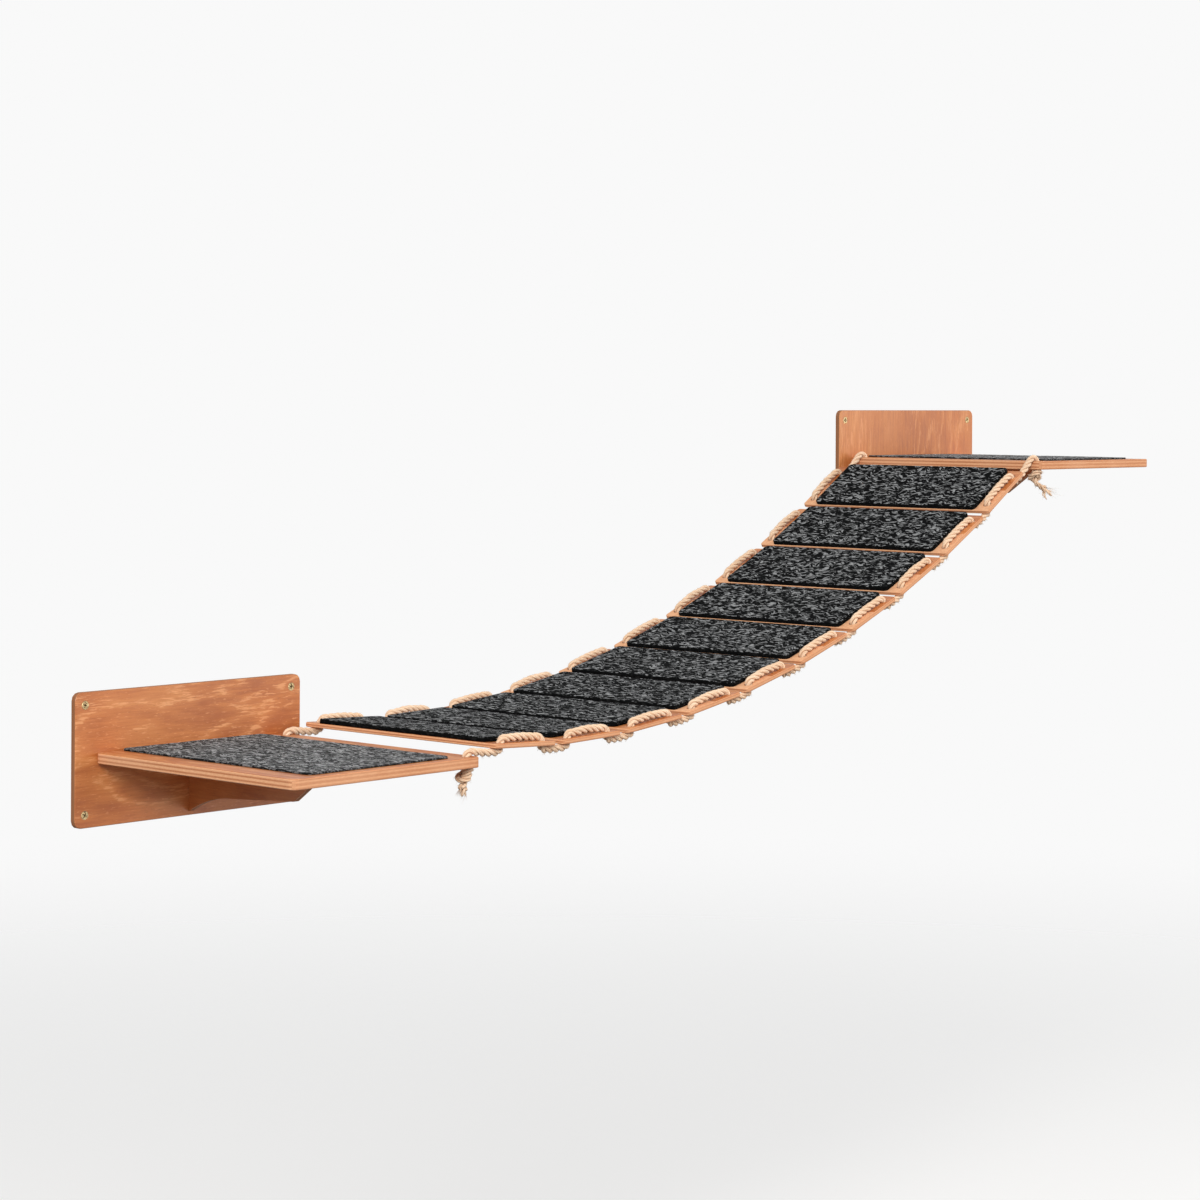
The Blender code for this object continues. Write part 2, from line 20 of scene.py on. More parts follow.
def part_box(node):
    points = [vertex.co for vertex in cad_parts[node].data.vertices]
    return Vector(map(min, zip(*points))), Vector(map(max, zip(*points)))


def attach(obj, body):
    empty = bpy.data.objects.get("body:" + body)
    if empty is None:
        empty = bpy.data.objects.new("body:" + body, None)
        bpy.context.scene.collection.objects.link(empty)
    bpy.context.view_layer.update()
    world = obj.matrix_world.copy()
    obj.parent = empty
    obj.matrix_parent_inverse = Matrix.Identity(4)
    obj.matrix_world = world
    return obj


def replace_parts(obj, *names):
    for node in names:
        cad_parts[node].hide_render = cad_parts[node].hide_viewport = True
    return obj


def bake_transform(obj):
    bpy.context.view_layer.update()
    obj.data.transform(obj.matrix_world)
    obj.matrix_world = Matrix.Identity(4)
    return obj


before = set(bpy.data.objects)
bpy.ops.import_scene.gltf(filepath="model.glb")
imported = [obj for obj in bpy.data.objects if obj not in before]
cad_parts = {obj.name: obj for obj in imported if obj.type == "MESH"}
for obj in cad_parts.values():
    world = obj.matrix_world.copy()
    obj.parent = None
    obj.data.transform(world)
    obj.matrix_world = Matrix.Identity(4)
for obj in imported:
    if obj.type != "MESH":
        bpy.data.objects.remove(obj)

LOG = logging.getLogger("cat_wall_bridge")
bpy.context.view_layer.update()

SHELVES = "shelves"
SLATS = 10
UP = Vector((0, 0, 1))
ALONG_WALL = Vector((1, 0, 0))
OUT_OF_WALL = Vector((0, -1, 0))

Socket = bpy.types.NodeSocket
Spot = tuple[float, float]


class Finish(Enum):
    """The record's material slots."""

    PLYWOOD = "stained_plywood"
    FELT = "charcoal_felt"
    ROPE = "jute_rope"
    BRASS = "brass_screw"
    ZINC = "zinc_screw"


class ShelfName(Enum):
    """The two shelves, by the start of their nodes' names."""

    LOWER = "lower"
    UPPER = "upper"


class RopeSide(Enum):
    """The two ropes: the front one is at the slats' free ends, the rear one near the wall."""

    FRONT = -1
    REAR = 1


class Drive(Enum):
    """The way a screw is driven, from its head to its point."""

    TO_THE_WALL = (0, 1, 0)
    FROM_THE_WALL = (0, -1, 0)
    DOWN = (0, 0, -1)


def slat_name(number: int) -> str:
    """A slat's node and body, counted from 1."""
    return f"slat_{number:02d}"


def linked(name: str, data: bpy.types.ID) -> bpy.types.Object:
    """Put a new object in the scene.

    Args:
        name: Its name.
        data: Its mesh, lamp or camera.

    Returns:
        The object.
    """
    new = bpy.data.objects.new(name, data)
    bpy.context.scene.collection.objects.link(new)
    return new


def mesh_from(bm: bmesh.types.BMesh, name: str) -> bpy.types.Mesh:
    """Turn finished mesh code into a mesh, and free it.

    Args:
        bm: The mesh code.
        name: The mesh's name.

    Returns:
        The mesh.
    """
    mesh = bpy.data.meshes.new(name)
    bm.to_mesh(mesh)
    bm.free()
    return mesh


def dress(piece: bpy.types.Object, material: bpy.types.Material) -> None:
    """Give a piece one material all over."""
    piece.data.materials.clear()
    piece.data.materials.append(material)


def placed(name: str, mesh: bpy.types.Mesh, finish: Finish) -> bpy.types.Object:
    """Put a mesh in the scene as a piece.

    Args:
        name: The piece's name.
        mesh: Its mesh.
        finish: The record's slot.

    Returns:
        The object, not dressed yet.
    """
    piece = linked(name, mesh)
    LOG.info("piece %s, %s", name, finish.value)
    return piece


# ---------------------------------------------------------------------------------------------- materials


class Shader:
    """The nodes of a material or of the sky in the making."""

    def __init__(self, owner: bpy.types.Material | bpy.types.World) -> None:
        """Start with no nodes.

        Args:
            owner: What the nodes belong to.
        """
        owner.use_nodes = True
        self.owner = owner
        self.nodes, self.links = owner.node_tree.nodes, owner.node_tree.links
        self.nodes.clear()

    @classmethod
    def named(cls, name: str) -> "Shader":
        """The nodes of a new material."""
        return cls(bpy.data.materials.new(name))

    def add(self, kind: str, inputs: dict | None = None, **settings: object) -> bpy.types.Node:
        """Add a node. Another node's output is linked, and anything else is written on the socket.

        Args:
            kind: The node's type, without the word ShaderNode.
            inputs: Values or outputs by socket name or number.
            **settings: The node's own settings.

        Returns:
            The node.
        """
        node = self.nodes.new("ShaderNode" + kind)
        for key, value in settings.items():
            setattr(node, key, value)
        for key, value in (inputs or {}).items():
            if isinstance(value, Socket):
                self.links.new(value, node.inputs[key])
            else:
                node.inputs[key].default_value = value
        return node

    def math(self, operation: str, *values: object, clamp: bool = False) -> Socket:
        """Do a sum on up to three values.

        Args:
            operation: The Math node's operation.
            *values: Numbers or outputs.
            clamp: Whether the result is kept between 0 and 1.

        Returns:
            The result.
        """
        inputs = dict(enumerate(values))
        return self.add("Math", inputs, operation=operation, use_clamp=clamp).outputs[0]

    def total(self, start: object, *terms: tuple[object, object]) -> Socket:
        """Add up products.

        Args:
            start: What they are added to, a number or an output.
            *terms: Pairs of a value and its weight, each a number or an output.

        Returns:
            The sum.
        """
        value = start
        for term, weight in terms:
            value = self.math("MULTIPLY_ADD", term, weight, value)
        return value

    def remap(
        self, value: Socket, low: float, high: float, to_low: float = 0.0, to_high: float = 1.0
    ) -> Socket:
        """Map a range of values to another one, smoothly and clamped.

        Args:
            value: The value.
            low: Start of the range.
            high: End of the range.
            to_low: What the start becomes.
            to_high: What the end becomes.

        Returns:
            The mapped value.
        """
        inputs = {0: value, 1: low, 2: high, 3: to_low, 4: to_high}
        return self.add("MapRange", inputs, interpolation_type="SMOOTHSTEP").outputs[0]

    def mix(self, share: object, first: object, second: object) -> Socket:
        """Mix two colours.

        Args:
            share: How much of the second one.
            first: A colour or an output.
            second: A colour or an output.

        Returns:
            The mixed colour.
        """
        return self.add("Mix", {0: share, 6: first, 7: second}, data_type="RGBA").outputs[2]

    def ramp(self, value: Socket, stops: Sequence[tuple]) -> Socket:
        """Colour a value.

        Args:
            value: The value, 0 to 1.
            stops: Pairs of a place and a colour of four numbers.

        Returns:
            The colour.
        """
        node = self.add("ValToRGB", {0: value})
        elements = node.color_ramp.elements
        while len(elements) < len(stops):
            elements.new(0.5)
        for element, (place, colour) in zip(elements, stops):
            element.position, element.color = place, colour
        return node.outputs[0]

    def noise(
        self,
        place: Socket,
        scale: float,
        detail: float,
        seed: float = 0.0,
        warp: float = 0.0,
        roughness: float = 0.5,
    ) -> Socket:
        """Add fractal noise.

        Args:
            place: Where it is read.
            scale: Waves per unit.
            detail: Octaves.
            seed: The fourth coordinate, which makes each piece its own.
            warp: How much it is distorted.
            roughness: Weight of the finer octaves.

        Returns:
            The noise, about 0.5.
        """
        inputs = {"Vector": place, "Scale": scale, "Detail": detail, "W": seed}
        inputs |= {"Distortion": warp, "Roughness": roughness}
        return self.add("TexNoise", inputs, noise_dimensions="4D").outputs[0]

    def relief(self, height: Socket, strength: float, distance: float) -> Socket:
        """Turn a height into a normal for fine relief.

        Args:
            height: The relief's height, 0 to 1.
            strength: How strongly it shows.
            distance: Metres that a height of 1 stands for.

        Returns:
            The normal.
        """
        inputs = {"Height": height, "Strength": strength, "Distance": distance}
        return self.add("Bump", inputs).outputs[0]

    def seen(self) -> Socket:
        """Tell what is seen, directly, in gloss or through glass, from what lights the object.

        Returns:
            1 for what is seen, and 0 for what lights the object.
        """
        ray = self.add("LightPath").outputs
        seen = self.math("ADD", ray["Is Camera Ray"], ray["Is Glossy Ray"], clamp=True)
        return self.math("ADD", seen, ray["Is Transmission Ray"], clamp=True)

    def end(self, last: Socket, output: str = "OutputMaterial") -> bpy.types.Material | bpy.types.World:
        """Link the last node to the output.

        Args:
            last: The last node's output.
            output: The output node's type.

        Returns:
            What the nodes belong to.
        """
        self.links.new(last, self.add(output).inputs[0])
        return self.owner

    def surface(self, **sockets: object) -> bpy.types.Material:
        """End in a Principled surface.

        Args:
            **sockets: Values or outputs by socket name, spaces written as underscores.

        Returns:
            The finished material.
        """
        inputs = {key.replace("_", " "): value for key, value in sockets.items()}
        return self.end(self.add("BsdfPrincipled", inputs).outputs[0])


@dataclass(frozen=True)
class Streaks:
    """Noise stretched along a piece: waves per metre by axis, octaves, and a shift that sets it apart."""

    waves: tuple[float, float, float]
    octaves: float
    shift: float = 0.0
    warp: float = 0.0
    roughness: float = 0.5

    def on(self, shader: Shader, place: Socket, seed: float) -> Socket:
        """Add the noise.

        Args:
            shader: The material in the making.
            place: Metres along the piece's own axes.
            seed: The piece's own number.

        Returns:
            The noise, about 0.5.
        """
        stretched = shader.add("VectorMath", {0: place, 1: self.waves}, operation="MULTIPLY").outputs[0]
        return shader.noise(stretched, 1.0, self.octaves, seed + self.shift, self.warp, self.roughness)


@dataclass(frozen=True)
class Blank:
    """How a flat piece lies: its middle, its own axes (the third one across its faces) and its size."""

    middle: Vector
    turn: Matrix
    size: Vector

    @classmethod
    def of(cls, node: str, face: Vector, grain: Vector) -> "Blank":
        """Read a flat piece from a node's mesh.

        Args:
            node: The node's name.
            face: About where its upper or front face looks.
            grain: About where its first axis points.

        Returns:
            The piece's own frame and size.
        """
        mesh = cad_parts[node].data
        normal = Vector()
        for polygon in mesh.polygons:
            if polygon.normal.dot(face) > 0.8:
                normal += polygon.normal * polygon.area
        third = normal.normalized()
        second = third.cross(grain).normalized()
        rows = Matrix((second.cross(third), second, third))
        points = np.array([rows @ v.co for v in mesh.vertices])
        low, high = Vector(points.min(0)), Vector(points.max(0))
        turn = rows.transposed()
        return cls(turn @ ((low + high) / 2), turn, high - low)

    def coordinates(self, shader: Shader) -> Socket:
        """Metres from the piece's middle along its own axes, for a material.

        Args:
            shader: The material in the making.

        Returns:
            The coordinates.
        """
        raw = shader.add("TexCoord").outputs["Object"]
        inputs = {"Vector": raw, "Location": self.middle, "Rotation": self.turn.to_euler()}
        return shader.add("Mapping", inputs, vector_type="TEXTURE").outputs[0]

    def matrix(self) -> Matrix:
        """From the piece's own axes to the frame."""
        return Matrix.Translation(self.middle) @ self.turn.to_4x4()


@dataclass(frozen=True)
class StainedPlywood:
    """Rotary-cut plywood, stained warm brown and lacquered satin, its layers bare on the edges."""

    stain: tuple = (
        (0.30, (0.385, 0.106, 0.024, 1)),
        (0.48, (0.515, 0.168, 0.045, 1)),
        (0.68, (0.625, 0.245, 0.077, 1)),
    )
    curl: tuple = (0.76, 0.35, 0.145, 1)
    pore: tuple = (0.26, 0.070, 0.020, 1)
    long_grain: tuple = ((0.83, 0.46, 0.255, 1), (0.71, 0.345, 0.178, 1))
    end_grain: tuple = ((0.53, 0.205, 0.092, 1), (0.41, 0.142, 0.062, 1))
    pale_edge: tuple = (0.84, 0.49, 0.30, 1)
    singed_edge: tuple = (0.20, 0.075, 0.030, 1)
    bare_face: float = 0.0004
    swirls: Streaks = Streaks((5, 16, 40), 2, warp=0.9)
    fibres: Streaks = Streaks((26, 380, 380), 4, warp=0.2, roughness=0.62)
    dashes: Streaks = Streaks((60, 480, 480), 3, 2, 0.3, 0.6)
    clouds: Streaks = Streaks((7, 15, 15), 3, 3, 0.8)
    tones: Streaks = Streaks((6, 11, 11), 1, 17)
    flecks: Streaks = Streaks((170, 700, 700), 2, 13)
    pores: Streaks = Streaks((130, 900, 900), 2, 9)
    wobble: Streaks = Streaks((40, 40, 40), 1, 5)
    edge_fibres: Streaks = Streaks((240, 240, 1500), 3, 7)
    edge_specks: Streaks = Streaks((900, 900, 1500), 2, 8)

    def face(
        self, shader: Shader, place: Socket, grain: Socket, cloud: Socket, seed: float, figured: float
    ) -> Socket:
        """Colour a face by its figure, with pale curl in the figure's bands, and pale flecks.

        Args:
            shader: The material in the making.
            place: Metres along the piece's own axes.
            grain: Its grain.
            cloud: Its broad shades.
            seed: Makes its figure its own.
            figured: How much curly figure it shows.

        Returns:
            The colour.
        """
        swirl = shader.math("MULTIPLY", self.swirls.on(shader, place, seed), 6.0)
        wave = shader.math("PINGPONG", swirl, 0.5)
        tone = self.tones.on(shader, place, seed)
        weights = ((wave, 0.40 * figured), (grain, 0.50), (cloud, 0.75), (tone, 0.50))
        face = shader.ramp(shader.total(-0.41 - 0.10 * figured, *weights), self.stain)
        band = shader.remap(wave, 0.22, 0.48)
        dashed = shader.total(self.dashes.on(shader, place, seed), (band, 0.17))
        curl = shader.math("MULTIPLY", shader.remap(dashed, 0.61, 0.74), figured * 0.8)
        face = shader.mix(curl, face, self.curl)
        fleck = shader.remap(self.flecks.on(shader, place, seed), 0.60, 0.70)
        return shader.mix(shader.math("MULTIPLY", fleck, 0.10 + 0.3 * figured), face, self.curl)

    def edge(self, shader: Shader, place: Socket, blank: Blank, layers: int, seed: float) -> Socket:
        """Colour an edge by its layers, which show long grain and end grain by turns.

        Args:
            shader: The material in the making.
            place: Metres along the piece's own axes.
            blank: How the piece lies.
            layers: How many layers it has.
            seed: Makes its fibres its own.

        Returns:
            The colour.
        """
        height = shader.add("SeparateXYZ", {0: place}).outputs[2]
        wobble = self.wobble.on(shader, place, seed)
        depth = shader.total(layers / 2 - 0.62, (height, layers / blank.size.z), (wobble, 0.24))
        crosswise = shader.remap(shader.math("PINGPONG", depth, 1.0), 0.36, 0.78)

        # layers that show long grain on the long edges show end grain at the ends, where they stand out less
        looks = shader.add("TexCoord").outputs["Normal"]
        inputs = {0: looks, 1: blank.turn.col[0]}
        along = shader.add("VectorMath", inputs, operation="DOT_PRODUCT").outputs["Value"]
        at_end = shader.remap(shader.math("ABSOLUTE", along), 0.5, 0.85)
        swapped = shader.total(1.0, (crosswise, -2.0))
        crosswise = shader.total(crosswise, (at_end, swapped))
        contrast = shader.total(0.95, (at_end, -0.45))
        banded = shader.total(0.0, (at_end, 0.22), (crosswise, contrast))

        fibre = shader.remap(self.edge_fibres.on(shader, place, seed), 0.3, 0.7)
        speck = shader.remap(self.edge_specks.on(shader, place, seed), 0.35, 0.7)
        return shader.mix(banded, shader.mix(fibre, *self.long_grain), shader.mix(speck, *self.end_grain))

    def on(
        self, node: str, blank: Blank, layers: int, seed: float, figured: float = 0.6, singed: float = 0.0
    ) -> None:
        """Finish a wooden node.

        Args:
            node: The node's name.
            blank: How it lies, its first axis along the grain.
            layers: How many layers its edges show.
            seed: Makes its figure its own.
            figured: How much curly figure its faces show.
            singed: How much its edges are browned by the cutter.
        """
        shader = Shader.named("stained_plywood_" + node)
        place = blank.coordinates(shader)
        grain = self.fibres.on(shader, place, seed)
        cloud = self.clouds.on(shader, place, seed)
        pore = shader.remap(self.pores.on(shader, place, seed), 0.60, 0.70)
        face = self.face(shader, place, grain, cloud, seed, figured)
        face = shader.mix(shader.math("MULTIPLY", pore, 0.38), face, self.pore)
        edge = self.edge(shader, place, blank, layers, seed)
        edge = shader.mix(shader.remap(cloud, 0.35, 0.65, 0.0, 0.22), edge, self.pale_edge)
        edge = shader.mix(singed, edge, self.singed_edge)
        inside = shader.math("ABSOLUTE", shader.add("SeparateXYZ", {0: place}).outputs[2])
        on_edge = shader.math("LESS_THAN", inside, blank.size.z / 2 - self.bare_face)
        material = shader.surface(
            Base_Color=shader.mix(on_edge, face, edge),
            Roughness=shader.total(shader.remap(grain, 0.3, 0.7, 0.42, 0.56), (on_edge, 0.26)),
            Normal=shader.relief(shader.total(0.0, (grain, 0.6), (pore, -0.7)), 0.30, 0.0002),
            Specular_IOR_Level=shader.total(0.38, (on_edge, -0.26)),
            Coat_Weight=shader.total(0.26, (on_edge, -0.26)),
            Coat_Roughness=0.24,
        )
        dress(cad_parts[node], material)
        LOG.info("node %s, %s", node, Finish.PLYWOOD.value)


@dataclass(frozen=True)
class CharcoalFelt:
    """Needle felt: near-black wool with light grey fibres lying mostly one way, and a sheen. Painted light
    can make it paler, and painted shade darkens its sides.
    """

    black: tuple = (0.0030, 0.0033, 0.0036, 1)
    charcoal: tuple = (0.040, 0.041, 0.043, 1)
    fibre: tuple = (0.30, 0.305, 0.31, 1)
    sheen: tuple = (0.86, 0.88, 0.90, 1)
    tufts: Streaks = Streaks((92, 380, 380), 1, 1, 0.7)
    fibres: Streaks = Streaks((150, 680, 680), 1, 2, 0.7)
    drift: float = 0.018

    def on(
        self, piece: bpy.types.Object, blank: Blank, seed: float, sheen_and_painted_light: float, edge: float, coarse: float
    ) -> None:
        """Finish a felt pad.

        Args:
            piece: The pad.
            blank: How it lies, its first axis along the fibres.
            seed: Makes its fibres its own.
            sheen_and_painted_light: Its sheen at a low angle, and painted light that makes its ground and its
                fibres paler.
            edge: How much painted shade darkens its sides.
            coarse: Share of the thick tufts among its fibres.
        """
        shader = Shader.named("charcoal_felt_" + piece.name)
        place = blank.coordinates(shader)
        bend = shader.total(-self.drift / 2, (shader.noise(place, 70.0, 2.0, seed), self.drift))
        shift = shader.add("CombineXYZ", {1: bend}).outputs[0]
        bent = shader.add("VectorMath", {0: place, 1: shift}, operation="ADD").outputs[0]
        tuft, fibre = self.tufts.on(shader, bent, seed), self.fibres.on(shader, bent, seed)
        wool = shader.total(0.0, (fibre, 1 - coarse), (tuft, coarse))
        # bloom lets more fibres show and lifts the ground from black towards charcoal: painted light that
        # makes the boards' felt paler; it also adds sheen below
        light = shader.math("POWER", shader.remap(wool, 0.510 - sheen_and_painted_light * 0.23, 0.588), 1.5)
        colour = shader.mix(light, shader.mix(sheen_and_painted_light * 2, self.black, self.charcoal), self.fibre)
        height = shader.add("SeparateXYZ", {0: place}).outputs[2]
        # painted shade: the pad's sides are darkened towards black, by edge, for the shade they lie in
        side = shader.remap(height, blank.size.z * 0.30, blank.size.z * 0.47, edge, 0.0)
        material = shader.surface(
            Base_Color=shader.mix(side, colour, self.black),
            Roughness=0.95,
            Normal=shader.relief(shader.total(wool, (light, 0.5)), 0.6, 0.0008),
            Specular_IOR_Level=0.04,
            Sheen_Weight=shader.total(sheen_and_painted_light * 0.6, (light, 0.22 + sheen_and_painted_light)),
            Sheen_Roughness=0.25,
            Sheen_Tint=self.sheen,
        )
        dress(piece, material)


@dataclass(frozen=True)
class JuteRope:
    """Three-strand jute: cream yarns wound round each strand, with painted shade where the strands meet and
    between the yarns.
    """

    cream: tuple = (0.89, 0.65, 0.47, 1)
    tan: tuple = (0.80, 0.54, 0.36, 1)
    straw: tuple = (0.95, 0.78, 0.56, 1)
    # painted shade for the creases between the strands and between the yarns
    painted_crease_shade: tuple = (0.56, 0.31, 0.165, 1)
    sheen: tuple = (1.0, 0.88, 0.76, 1)
    yarns_per_metre: float = 70.0
    yarns_round: float = 5.0

    def material(self) -> bpy.types.Material:
        """Make the rope's material. It reads the lay, which runs along and around each strand.

        Returns:
            The material.
        """
        shader = Shader.named("jute_rope")
        lay = shader.add("SeparateXYZ", {0: shader.add("UVMap", uv_map="lay").outputs[0]}).outputs
        place = shader.add("TexCoord").outputs["Object"]
        ripple = shader.noise(place, 420.0, 2.0)
        turn = shader.total(
            0.0, (lay[1], self.yarns_round), (lay[0], -self.yarns_per_metre), (ripple, 0.5)
        )
        yarn = shader.remap(shader.math("PINGPONG", turn, 0.5), 0.0, 0.30)
        fibres = shader.noise(place, 1500.0, 3.0, 2.0, 1.5, 0.65)
        cloud = shader.noise(place, 60.0, 2.0, 4.0)
        straw = shader.math("MULTIPLY", shader.remap(fibres, 0.40, 0.68), 0.55)
        colour = shader.mix(shader.remap(cloud, 0.35, 0.65), self.tan, self.cream)
        colour = shader.mix(straw, colour, self.straw)
        # painted shade between the yarns
        colour = shader.mix(shader.total(0.45, (yarn, -0.45)), colour, self.painted_crease_shade)
        # painted shade on the inner side of each strand, where the strands press together
        inward_painted_shade = shader.remap(shader.math("PINGPONG", lay[1], 0.5), 0.17, 0.33, 0.0, 0.70)
        return shader.surface(
            Base_Color=shader.mix(inward_painted_shade, colour, self.painted_crease_shade),
            Roughness=0.85,
            Normal=shader.relief(shader.total(0.0, (yarn, 0.8), (fibres, 0.45)), 0.8, 0.0003),
            Specular_IOR_Level=0.25,
            Sheen_Weight=0.25,
            Sheen_Roughness=0.5,
            Sheen_Tint=self.sheen,
        )


@dataclass(frozen=True)
class ScrewMetal:
    """Plated steel, a little scuffed."""

    finish: Finish
    colour: tuple
    dull: tuple
    roughness: float = 0.34
    uneven: float = 0.16
    scratches: Streaks = Streaks((3500, 900, 3500), 2, 5)

    def material(self) -> bpy.types.Material:
        """Make the metal.

        Returns:
            The material.
        """
        shader = Shader.named(self.finish.value)
        place = shader.add("TexCoord").outputs["Object"]
        stain = shader.noise(place, 500.0, 3.0)
        return shader.surface(
            Base_Color=shader.mix(shader.remap(stain, 0.35, 0.7), self.colour, self.dull),
            Metallic=1.0,
            Roughness=shader.remap(stain, 0.3, 0.7, self.roughness, self.roughness + self.uneven),
            Normal=shader.relief(self.scratches.on(shader, place, 0.0), 0.15, 0.0001),
        )


# -------------------------------------------------------------------------------------- wood, felt, screws


@dataclass
class Woodwork:
    """The wooden nodes, which keep their solids: plates, boards, gussets and slats."""

    thick_layers: int = 5
    slat_layers: int = 3
    singed_plate: float = 0.75
    singed_gusset: float = 0.65
    # The gusset shows little pale curl and few pale flecks, which darkens it: partly its plainer figure,
    # partly painted shade for its place under the board.
    gusset_figure_and_painted_shade: float = 0.1
    finish: StainedPlywood = StainedPlywood()

    def dress_shelf(self, shelf: ShelfName, plate_grain: Vector, seed: float, figured: float) -> None:
        """Finish one shelf's plate, board and gusset.

        Args:
            shelf: Which shelf.
            plate_grain: Where its plate's grain runs.
            seed: Makes its figure its own.
            figured: How much curly figure the plate shows.
        """
        plate, board, gusset = (shelf.value + end for end in ("_back_plate", "_shelf_board", "_gusset"))
        layers = self.thick_layers
        blank = Blank.of(plate, OUT_OF_WALL, plate_grain)
        self.finish.on(plate, blank, layers, seed, figured, self.singed_plate)
        self.finish.on(board, Blank.of(board, UP, OUT_OF_WALL), layers, seed + 11)
        blank = Blank.of(gusset, -ALONG_WALL, OUT_OF_WALL)
        self.finish.on(gusset, blank, layers, seed + 23, self.gusset_figure_and_painted_shade, self.singed_gusset)

    def build(self) -> None:
        """Finish all the wood."""
        self.dress_shelf(ShelfName.LOWER, ALONG_WALL, seed=2.0, figured=0.85)
        self.dress_shelf(ShelfName.UPPER, UP, seed=37.0, figured=0.5)
        for number in range(1, SLATS + 1):
            node = slat_name(number)
            self.finish.on(node, Blank.of(node, UP, OUT_OF_WALL), self.slat_layers, 50.0 + 7 * number)


@dataclass
class FeltPad:
    """One pad of felt, its rim rounded, its face and edges a little uneven."""

    node: str
    body: str
    corner: float
    seed: float
    rim: float = 0.0012
    rim_lines: tuple = (0.0, 0.12, 0.42, 1.0)
    corner_lines: tuple = (0.62, 1.0)
    spacing: float = 0.0030
    wave: float = 0.00022
    waves_per_metre: float = 28
    ripple: float = 0.00014
    ripples_per_metre: float = 230
    ragged: float = 1.3
    rags: float = 0.45
    # sheen, and painted light that makes the felt paler
    sheen_and_painted_light: float = 0.0
    # how much painted shade darkens the pad's sides
    edge: float = 0.97
    coarse: float = 0.45

    def lines(self, half: float) -> list[float]:
        """Grid lines across the pad, closer near its edges.

        Args:
            half: Half the pad's size that way.

        Returns:
            Places from edge to edge.
        """
        near = [self.rim * share for share in self.rim_lines]
        near += [self.corner * share for share in self.corner_lines]
        near = sorted(x for x in near if x <= self.corner)
        inner = half - self.corner
        steps = max(2, round(2 * inner / self.spacing))
        middle = [-inner + 2 * inner * i / steps for i in range(1, steps)]
        return [-half + x for x in near] + middle + [half - x for x in reversed(near)]

    def settled(self, x: float, y: float, half: Vector) -> tuple[float, float, float]:
        """Round the corners of the grid.

        Args:
            x: Place along the pad.
            y: Place across the pad.
            half: Half the pad's size.

        Returns:
            The moved place, and its distance from the outline.
        """
        over_x = abs(x) - (half.x - self.corner)
        over_y = abs(y) - (half.y - self.corner)
        if over_x <= 0 or over_y <= 0:
            return x, y, min(half.x - abs(x), half.y - abs(y))
        share = max(over_x, over_y) / math.hypot(over_x, over_y)
        moved_x = math.copysign(half.x - self.corner + over_x * share, x)
        moved_y = math.copysign(half.y - self.corner + over_y * share, y)
        return moved_x, moved_y, self.corner - max(over_x, over_y)

    def column(self, x: float, y: float, half: Vector) -> tuple[tuple, tuple]:
        """One grid point on the pad's face and the one below it.

        Args:
            x: Place along the pad.
            y: Place across the pad.
            half: Half the pad's size.

        Returns:
            The upper and the lower point.
        """
        x, y, inset = self.settled(x, y, half)
        broad = Vector((x * self.waves_per_metre, y * self.waves_per_metre, self.seed))
        fine = Vector((x * self.ripples_per_metre, y * self.ripples_per_metre, self.seed + 5))
        lift = noise.noise(broad) * self.wave + noise.noise(fine) * self.ripple
        drop, pull = 0.0, 1.0
        if inset < self.rim:
            drop = self.rim - math.sqrt(max(0.0, self.rim**2 - (self.rim - inset) ** 2))
            pull = 1 - abs(noise.noise(fine * self.rags)) * self.wave * self.ragged / half.x
        top = (x * pull, y * pull, half.z - drop + min(0.0, lift - self.ripple))
        return top, (x * pull, y * pull, -half.z)

    def mesh(self, blank: Blank) -> bpy.types.Mesh:
        """Build the pad's closed mesh.

        Args:
            blank: How the pad lies.

        Returns:
            The mesh, in the frame.
        """
        half = blank.size / 2
        columns, rows = self.lines(half.x), self.lines(half.y)
        bm = bmesh.new()
        pairs = [[bm.verts.new(p) for p in self.column(x, y, half)] for y in rows for x in columns]
        top, floor = zip(*pairs)
        width, height = len(columns), len(rows)
        for row in range(height - 1):
            for column in range(width - 1):
                a = row * width + column
                corners = (a, a + 1, a + width + 1, a + width)
                bm.faces.new([top[i] for i in corners])
                bm.faces.new([floor[i] for i in reversed(corners)])
        rim = list(range(width))
        rim += [row * width + width - 1 for row in range(1, height)]
        rim += [(height - 1) * width + i for i in range(width - 2, -1, -1)]
        rim += [row * width for row in range(height - 2, 0, -1)]
        for i, j in zip(rim, rim[1:] + rim[:1]):
            bm.faces.new((top[j], top[i], floor[i], floor[j]))
        bmesh.ops.recalc_face_normals(bm, faces=bm.faces)
        bmesh.ops.transform(bm, matrix=blank.matrix(), verts=bm.verts)
        mesh = mesh_from(bm, self.node)
        mesh.shade_smooth()
        return mesh

    def build(self, finish: CharcoalFelt) -> None:
        """Args:
            finish: The felt.
        """
        blank = Blank.of(self.node, UP, OUT_OF_WALL)
        pad = placed("pad_" + self.node, self.mesh(blank), Finish.FELT)
        finish.on(pad, blank, self.seed, self.sheen_and_painted_light, self.edge, self.coarse)
        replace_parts(pad, self.node)
        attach(pad, self.body)


